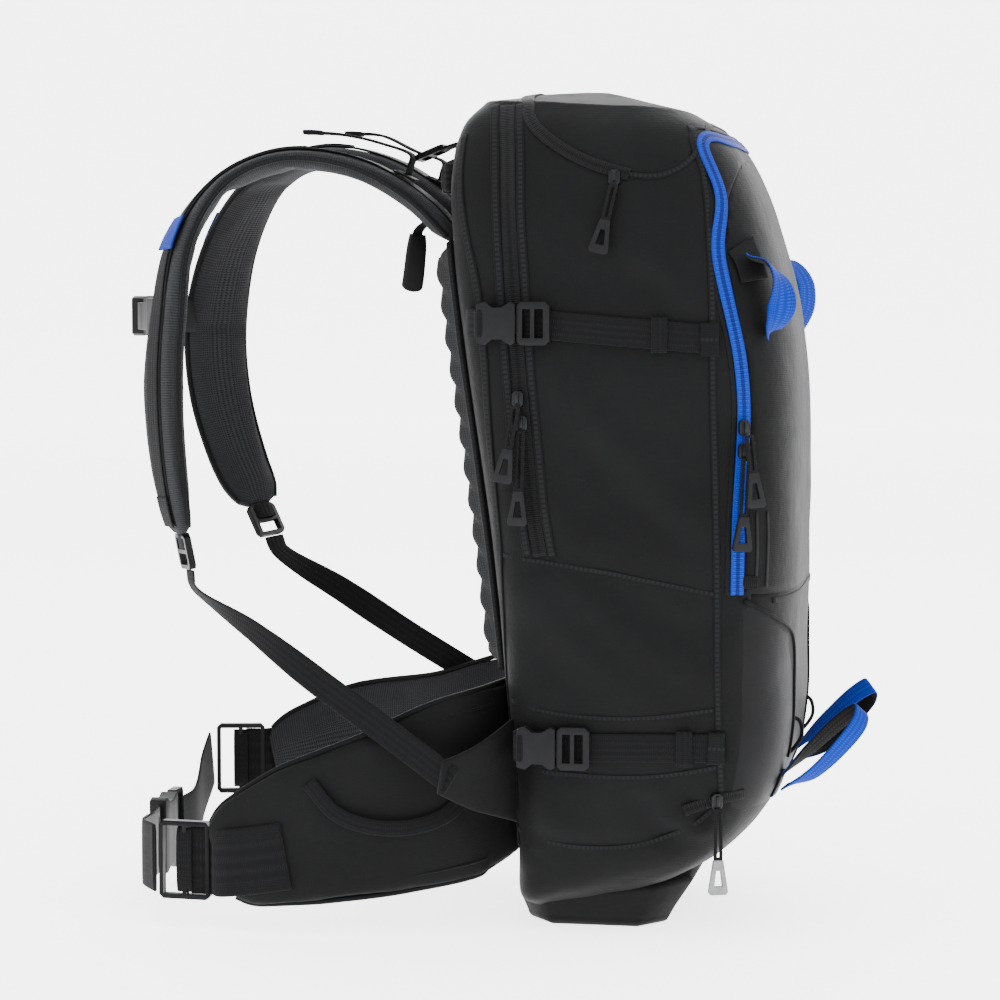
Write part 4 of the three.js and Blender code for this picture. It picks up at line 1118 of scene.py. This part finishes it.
def load_lifters():
    strap_top = STRAP_THICK / 2 + 3.2
    for name, side in SIDES.items():
        y = side * 58
        bag_top = back_x(y, 556) - 1.4
        lock = np.array([bag_top - 22, y, 550.0])
        rise = 0 if side == LEFT else 6
        fold = lock + np.array([-15, side * 2, -8])

        def above(dx, dy, dz):
            return np.array([ROOT[0] + dx, y + side * dy, ROOT[2] + strap_top + dz])

        route = [above(-44, 4, 40), above(-37, 3, 38), fold, fold + np.array([1, 0, 6]), above(-56, 5, 60),
                 above(-82, 7, 66 + rise), above(-108, 9, 68 + rise)]
        web = band(f"lifter_webbing_{name}", route, (0, 1, 0), WEB - 1, 2.1, WEB_BLACK, steps=110, around=16)
        finish_piece(web, "pack", "black_webbing", f"lifter_web_{name}")
        tail_end = route[-1]
        hem = band(f"lifter_tail_hem_{name}", [tail_end + np.array([9, 0, -0.4]),
                                               tail_end + np.array([3, 0, 0]),
                                               tail_end + np.array([-2, 0, 0])],
                   (0, 1, 0), WEB, 3.4, WEB_BLACK, steps=10, around=14)
        finish_piece(hem, "pack", "black_webbing")
        anchor = band(f"lifter_anchor_{name}", [(bag_top + 5, y, 558), (bag_top - 4, y, 556),
                                                (bag_top - 15, y, 552.4)],
                      (0, 1, 0), WEB - 0.4, 2.2, WEB_BLACK, steps=16, around=14)
        finish_piece(anchor, "pack", "black_webbing")
        tack = [(ROOT[0] - 30, y + side * 3, ROOT[2] + 35 + strap_top - 2),
                (ROOT[0] - 45, y + side * 4, ROOT[2] + 41 + strap_top - 1)]
        patch = band(f"lifter_patch_{name}", [tack[0],
                                              ((tack[0][0] + tack[1][0]) / 2, y + side * 3.5,
                                               ROOT[2] + 38.4 + strap_top - 1.5), tack[1]],
                     (0, 1, 0), 24, 1.8, HARNESS, steps=12, around=14)
        finish_piece(patch, "pack", "shell_fabric")


def loops_on_bag():
    low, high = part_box("haul_loop")
    back = high.x / MM + 1.5
    z = (low.z + high.z) / 2 / MM
    reach = 21.5
    route = [(back, -30, z), (back - reach * 0.75, -22, z), (back - reach, 0, z),
             (back - reach * 0.75, 22, z), (back, 30, z)]
    loop = band("haul_loop_webbing", route, (0, 0, 1), WEB, 2.6, WEB_BLACK, steps=70, around=16)
    finish_piece(loop, "pack", "black_webbing", "haul_loop")
    grip = band("haul_loop_grip", [(back - reach * 0.9, -15, z), (back - reach - 0.6, 0, z),
                                   (back - reach * 0.9, 15, z)],
                (0, 0, 1), WEB + 2.4, 4.6, HARNESS, steps=30, around=18, squareness=3.4)
    finish_piece(grip, "pack", "shell_fabric")
    strip("back_yoke", [(-88, y, 548) for y in (-78, -40, 0, 40, 78)], 15, 1.6, BINDING, lift=0.5)

    for name, side in SIDES.items():
        y = side * 64
        front = front_x(y, 104)
        x, z = front + 3, 104.0
        route = [(x, y, z + 4), (x + 20, y, z + 24), (x + 44, y, z + 47), (x + 56, y, z + 52),
                 (x + 58, y, z + 42),
                 (x + 44, y, z + 22), (x + 22, y, z + 4), (x + 2.5, y, z - 4)]
        heading = unit((0.74, 0, 0.67))
        start = np.array(route[0], float)
        leaning, sideways = [], []
        for i, point in enumerate(route):
            lean = math.radians(52) * math.sin(math.pi * i / (len(route) - 1)) ** 0.6 * side
            turn = Quaternion(Vector(heading), lean)
            leaning.append(start + np.array(turn @ Vector(np.array(point, float) - start)))
            sideways.append(np.array(turn @ Vector((0, -1, 0))))
        loop = band(f"axe_loop_webbing_{name}", leaning, sideways, 16, 2.0, WEB_BLACK, steps=110, around=16,
                    inner=WEB_BLUE)
        finish_piece(loop, f"axe_loop_{name}", "blue_webbing", f"axe_loop_{name}")
        strip(f"axe_loop_patch_{name}", [(front - 1, y, 112), (front, y, 104), (front - 3, y, 94)], 24, 2.0,
              HARNESS, lift=0.6)

        z = 474.0
        y = -112.0
        skin = front_x(y, z) + 2.8
        route = [(skin, y, z), (skin + 12, y - 3, z - 4), (skin + 21, y - 4, z - 16),
                 (skin + 22, y - 2, z - 34),
                 (skin + 16, y, z - 48), (front_x(y, z - 52) + 2.6, y + 1, z - 52)]
        route = [(px, -side * py, pz) for px, py, pz in route]
        if side == LEFT:
            turned = [(0.45, -0.9, 0), (0.2, -1, 0), (-0.35, -0.95, 0), (-0.7, -0.7, 0), (-0.35, -0.95, 0),
                      (0.42, -0.9, 0)]
            faces = (WEB_BLACK, WEB_BLUE)
        else:
            turned = (0.45, 0.9, 0)
            faces = (WEB_BLUE, WEB_BLACK)
        hold = band(f"tool_holder_webbing_{name}", route, turned, 25, 2.2, faces[0], steps=70, around=18,
                    inner=faces[1])
        finish_piece(hold, "front_panel", "blue_webbing", f"tool_holder_{name}")
        patch = [(skin - 6, side * 114, z + 10), (skin - 1, side * 111, z - 2), (skin + 1, side * 110, z - 16)]
        strip(f"tool_holder_patch_{name}", patch, 27, 1.8, HARNESS, body="front_panel", lift=0.5)
        for i, reach in enumerate((134.5, 141.5)):
            slit = guesses_on([(reach, 236 + 12), (reach + 1, 275), (reach, 300)], side)
            strip(f"panel_slit_{i}_{name}", slit, 1.8, 1.4, LINING, body="front_panel", lift=0.3, around=10)
        tab = guesses_on([(127, 252), (136, 251)], side)
        strip(f"panel_foot_tab_{name}", tab, 9, 1.4, WEB_BLACK, body="front_panel", slot="black_webbing",
              lift=0.7)
        tab = guesses_on([(122, 474), (131, 472)], side)
        strip(f"panel_head_tab_{name}", tab, 11, 1.2, WEB_BLACK, body="front_panel", slot="black_webbing",
              lift=0.5)
        for i, (z0, z1, reach) in enumerate(((150, 122, 7),)):
            y = side * (58 - 9 * i)
            face = front_x(y, z0)
            foot = front_x(y, z1)
            route = [(face + 0.4, y, z0), (face + reach * 0.8, y - side * 2, z0 - 4),
                     (face + reach, y - side * 4, (z0 + z1) / 2),
                     (foot + reach * 0.7, y - side * 3, z1 + 4), (foot + 0.4, y, z1)]
            cordlet = band(f"bungee_loop_{i}_{name}", route, (0, 1, 0), 2.8, 2.8, CORD, steps=44, around=10,
                           squareness=2)
            finish_piece(cordlet, "pack", "black_webbing")


# ---------------------------------------------------------------- sternum strap and hip belt

def sternum():
    z = ROOT[2] - 54
    x = ROOT[0] - 249
    left, right = strap_route("left")[6], strap_route("right")[6]
    socket_end = 2 - BUCKLE_LENGTH
    route = [(x, socket_end + 5, z), (x + 6, socket_end - 14, z), (left[0] - 31, left[1] + 48, z),
             (left[0] - 21, left[1] + 30, z)]
    web = band("sternum_webbing_left", route, (0, 0, 1), WEB + 0.6, 2.2, WEB_BLACK, steps=50, around=14)
    finish_piece(web, "sternum_strap", "black_webbing")
    inner = x + 4.5
    route = [(inner + 2, 10, z), (inner + 3, 32, z), (inner + 4, right[1] - 42, z),
             (right[0] - 19, right[1] - 30, z)]
    web = band("sternum_webbing_right", route, (0, 0, 1), WEB, 1.7, WEB_BLACK, steps=50, around=14)
    finish_piece(web, "sternum_strap", "black_webbing", "sternum_web")
    for name, at, place in (("left", left, (left[0] - 18, left[1] + 27)),
                            ("right", right, (right[0] - 16, right[1] - 27))):
        toward = unit((at[0] - place[0], at[1] - place[1], 0))
        clip = [np.array([place[0], place[1], z]) - toward * 9, np.array([place[0], place[1], z]),
                np.array([place[0], place[1], z]) + toward * 6]
        slider = band(f"sternum_slider_{name}", clip, (0, 0, 1), 27, 5.6, PLASTIC, steps=18, around=20,
                      squareness=6)
        finish_piece(slider, "sternum_strap", "buckle_plastic")


BELT_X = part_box("hip_wing_left")[1].x / MM - 7.5
WINGS = {
    "left": [(0, 2, 108, 120), (-3, 62, 108, 128), (-20, 116, 104, 130), (-72, 139, 87, 116),
             (-138, 147, 69, 98),
             (-196, 142, 48, 66)],
    "right": [(0, 2, 108, 120), (-3, 62, 108, 128), (-20, 116, 105, 130), (-86, 136, 95, 110),
              (-160, 158, 90, 92),
              (-230, 144, 77, 56)],
}
WING_THICK = 15.0
WAIST_WEB = 48.0
WAIST_Z = 43.0


def wing_route(name):
    return [np.array([BELT_X + dx, SIDES[name] * y, z]) for dx, y, z, _ in WINGS[name]]


def hip_belt():
    wing_meshes = {}
    for name, side in SIDES.items():
        route = wing_route(name)
        widths = [(w, 0, 0) for _, _, _, w in WINGS[name]]
        across = (0, 0, 1.0) if side == RIGHT else (0, 0, -1.0)
        width = end_round(lambda s: through(widths, s)[0], 0.95, 0.6, 0.07)
        thick = end_round(lambda s: WING_THICK, 0.8, 0.45, 0.05)
        wing = band(f"hip_pad_{name}", route, across, width, lambda s: thick(s) * 0.88, HARNESS, steps=110,
                    around=44, squareness=3.4,
                    inner=MESH)
        shape_wing(wing)
        puff(wing, 2.0)
        finish_piece(wing, "pack", "harness_mesh", f"hip_wing_{name}")
        bm = bmesh.new()
        bm.from_mesh(wing.data)
        bmesh.ops.scale(bm, vec=(1 / MM,) * 3, verts=bm.verts)
        wing_meshes[name] = BVHTree.FromBMesh(bm)
        bm.free()
        for label, sign in (("top", 1), ("foot", -1)):
            edge_piping(f"hip_piping_{label}_{name}", route, across, width, 4.2, BINDING, "pack",
                        "shell_fabric", sign)
        for label, sign in (("top", 1), ("foot", -1)):
            inset = lambda s: max(10, width(s) - 22)
            edge_piping(f"hip_seam_{label}_{name}", route, across, inset, 1.8, BINDING, "pack",
                        "shell_fabric", sign,
                        shift=1.4 - WING_THICK / 2)
        end = route[-1]
        along = unit((end - route[-2]) * np.array([1, 1, 0]))
        tree = wing_meshes[name]
        guess = [end - along * 52 + np.array([0, side * 7, 8]), end - along * 24 + np.array([0, side * 8, 3]),
                 end + np.array([0, side * 5, 0])]
        points = []
        for g in even(guess, 8):
            hit = tree.find_nearest(Vector(g))
            points.append(np.array(hit[0] + hit[1] * 1.2))
        lock = end + along * 26
        points += [end + along * 6, lock - along * 5]
        patch = band(f"belt_webbing_patch_{name}", points, (0, 0, 1), WAIST_WEB, 2.6, WEB_BLACK, steps=60,
                     around=18, squareness=7)
        finish_piece(patch, "pack", "black_webbing")
        turn = band(f"waist_lock_wrap_{name}", [lock - along * 6, lock, lock + along * 5], (0, 0, 1),
                    WAIST_WEB - 1.5, 8.4, WEB_BLACK,
                    steps=16, around=18, squareness=3)
        finish_piece(turn, "pack", "black_webbing")
    return wing_meshes


def shape_wing(wing):
    """Slight creases across the wing where it bends round the hip."""
    mesh = wing.data
    for v in mesh.vertices:
        p = v.co / MM
        ripple = noise.noise(Vector((p.x / 26, p.y / 26, p.z / 60)))
        v.co += v.normal * (ripple * 0.9 * MM)


def waist_belt():
    buckle_x = BELT_X - 275
    mouth = 4.0
    ends = {}
    for name in SIDES:
        route = wing_route(name)
        along = unit((route[-1] - route[-2]) * np.array([1, 1, 0]))
        ends[name] = route[-1] + along * 49
    socket_end = mouth - 34
    bend = np.array([buckle_x + 6, socket_end - 20, WAIST_Z])
    left = ends["left"]
    route = [(buckle_x, socket_end + 5, WAIST_Z), bend, left + (bend - left) * 0.4 + np.array([-9, 0, 0]), left]
    web = band("waist_webbing_left", route, (0, 0, 1), WAIST_WEB + 0.8, 2.9, WEB_BLACK, steps=70, around=16)
    finish_piece(web, "pack", "black_webbing")
    inner = buckle_x + 7.7
    bend = np.array([inner + 1, mouth + 40, WAIST_Z + 2])
    right = ends["right"]
    route = [(inner, mouth + 8, WAIST_Z), bend, right + (bend - right) * 0.45 + np.array([-2, 4, 0]), right]
    web = band("waist_webbing_right", route, (0, 0, 1), WAIST_WEB, 2.3, WEB_BLACK, steps=70, around=16)
    finish_piece(web, "pack", "black_webbing", "waist_web")


def gear_loop(tree):
    spots = [(-127, 108, 1.8), (-108, 88, 5), (-84, 79, 7), (-56, 78, 7), (-32, 86, 5), (-18, 103, 1.8)]
    route = []
    for dx, z, lift in spots:
        hit = tree.ray_cast(Vector((BELT_X + dx, -1000, z)), Vector((0, 1, 0)))[0]
        route.append(np.array([BELT_X + dx, hit.y - lift, z]))
    route = [np.array(p) for p in route]
    tangents = [unit(through(route, min(1, s + 1e-3)) - through(route,
                                                                max(0, s - 1e-3))) for s in np.linspace(0,
                                                                                                        1,
                                                                                                        len(route))]
    across = [np.cross(t, (0, 1, 0)) for t in tangents]
    loop = band("gear_loop_webbing", route, across, 11, 2.6, WEB_BLACK, steps=80, around=16, squareness=3)
    finish_piece(loop, "pack", "black_webbing", "gear_loop")


# ---------------------------------------------------------------- back pad

def back_pad():
    low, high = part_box("back_pad")
    half, z0, z1 = 102.0, low.z / MM, high.z / MM + 14
    bm = bmesh.new()
    uv = bm.loops.layers.uv.new("UVMap")
    bmesh.ops.create_grid(bm, x_segments=96, y_segments=132, size=0.5)
    skin = {}
    for v in bm.verts:
        y, z = v.co.x * 2 * half, z0 + (z1 - z0) * (v.co.y + 0.5)
        side_edge = smooth_step(1.0, 0.86, abs(y) / half) * smooth_step(1.0, 0.93,
                                                                        abs(z - (z0 + z1) / 2) / ((z1 - z0) / 2))
        chevron = (z + abs(y) * 0.75) / 23.0
        wave = 0.5 + 0.5 * math.cos(2 * math.pi * chevron)
        rib = wave ** 0.6
        channel = math.exp(-(y / 13) ** 2)
        depth = 4.5 + side_edge * (5.5 + 5.0 * rib) * (1 - 0.75 * channel)
        back = back_x(y, z)
        skin[v] = back - 0.6
        v.co = Vector((back - 0.6 - depth, y, z))
    for face in bm.faces:
        for loop in face.loops:
            loop[uv].uv = (loop.vert.co.y * MM, loop.vert.co.z * MM)
    rim = [e for e in bm.edges if e.is_boundary]
    rim_skin = {tuple(round(c, 3) for c in v.co): skin[v] for e in rim for v in e.verts}
    made = bmesh.ops.extrude_edge_only(bm, edges=rim)["geom"]
    for v in made:
        if isinstance(v, bmesh.types.BMVert):
            v.co.x = rim_skin.get(tuple(round(c, 3) for c in v.co), v.co.x + 4)
    bmesh.ops.holes_fill(bm, edges=[e for e in bm.edges if e.is_boundary], sides=0)
    bmesh.ops.recalc_face_normals(bm, faces=bm.faces)
    pad = new_object("back_pad_ribs", bm, (PAD_MESH,))
    finish_piece(pad, "pack", "back_foam", "back_pad")
    corners = [(y, z) for y, z in ((-half, z0), (-half, z1), (half, z1), (half, z0))]
    for i, (a, b) in enumerate(zip(corners, corners[1:] + corners[:1])):
        points = []
        for t in np.linspace(0, 1, 14):
            y, z = a[0] + (b[0] - a[0]) * t, a[1] + (b[1] - a[1]) * t
            back = back_x(y * 0.995, z)
            points.append((back - 3.2, y, z))
        piping = band(f"back_pad_piping_{i}", points, (1, 0, 0), 5, 5, BINDING, steps=70, around=10,
                      squareness=2)
        finish_piece(piping, "pack", "shell_fabric")


def base_boot():
    """The base panel in its sewn cover, which meets the bag's rounded underside."""
    low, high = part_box("base_panel")
    bm = bmesh.new()
    bm.from_mesh(frame["nodes"]["base_panel"].data)
    bmesh.ops.scale(bm, vec=(1 / MM,) * 3, verts=bm.verts)
    bmesh.ops.remove_doubles(bm, verts=bm.verts, dist=0.005)
    bmesh.ops.dissolve_limit(bm, angle_limit=math.radians(1.5), verts=bm.verts, edges=bm.edges)
    x0, x1, half = low.x / MM, high.x / MM, high.y / MM
    back, front, wide = BACK_EDGE[0][0], FRONT_EDGE[0][0], BACK_EDGE[0][1]
    for v in bm.verts:
        share = (v.co.x - x0) / (x1 - x0)
        if v.co.z > 5:
            v.co.x = back - 7 + (front - back + 32) * share
            v.co.y *= (wide + 8) / half
            v.co.z = BACK_EDGE[0][2] + 11 + (FRONT_EDGE[0][2] - BACK_EDGE[0][2]) * share
        else:
            v.co.x = back - 3 + (front - back + 10) * share
            v.co.y *= (wide - 1) / half
    sharp = [e for e in bm.edges if len(e.link_faces) == 2 and e.calc_face_angle(0) > math.radians(50)]
    bmesh.ops.bevel(bm, geom=sharp, offset=6.5, offset_type="OFFSET", segments=6, profile=0.5, affect="EDGES",
                    material=-1, clamp_overlap=True)
    bmesh.ops.triangulate(bm, faces=[f for f in bm.faces if len(f.verts) > 4])
    bmesh.ops.recalc_face_normals(bm, faces=bm.faces)
    finish_piece(new_object("base_boot", bm, (HARNESS,)), "pack", SLOT_OF["base_panel"], "base_panel")


def hanging_tab():
    """The rounded pull on its ribbon, turned a little so its flat side shows."""
    low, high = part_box("hang_tab")
    x, y = (low.x + high.x) / 2 / MM, (low.y + high.y) / 2 / MM
    top, foot = high.z / MM, low.z / MM
    route = [(x + 1, y, top - 3), (x, y, top - 14), (x - 2.5, y, foot + 8), (x - 4, y, foot)]
    flat = [(0.5, 0.85, 0), (0.75, 0.65, 0), (0.85, 0.5, 0), (0.85, 0.5, 0)]

    def width(s):
        from_end = (1 - s) * (top - foot)
        return 16 * (1 if from_end > 8 else math.sqrt(max(0.04, 1 - ((8 - from_end) / 8) ** 2)))

    tab = band("hang_tab_pull", route, flat, width, 3.2, RUBBER, steps=60, around=20, squareness=4)
    finish_piece(tab, "hang_tab", "black_webbing", "hang_tab")
    route = [(x + 16, y + 2, top + 12), (x + 7, y + 1, top + 5), (x + 2, y, top), (x, y, top - 5)]
    ribbon = band("hang_tab_ribbon", route, [(0.2, 1, 0), (0.3, 0.9, 0), (0.4, 0.9, 0), (0.5, 0.85, 0)], 11, 1.5,
                  WEB_BLACK, steps=30, around=14)
    finish_piece(ribbon, "pack", "black_webbing")


sew_zips_and_seams()
make_moulded_pieces()
base_boot()
hanging_tab()
side_straps()
shoulder_straps()
lower_webs()
load_lifters()
loops_on_bag()
sternum()
wings = hip_belt()
waist_belt()
gear_loop(wings["left"])
back_pad()
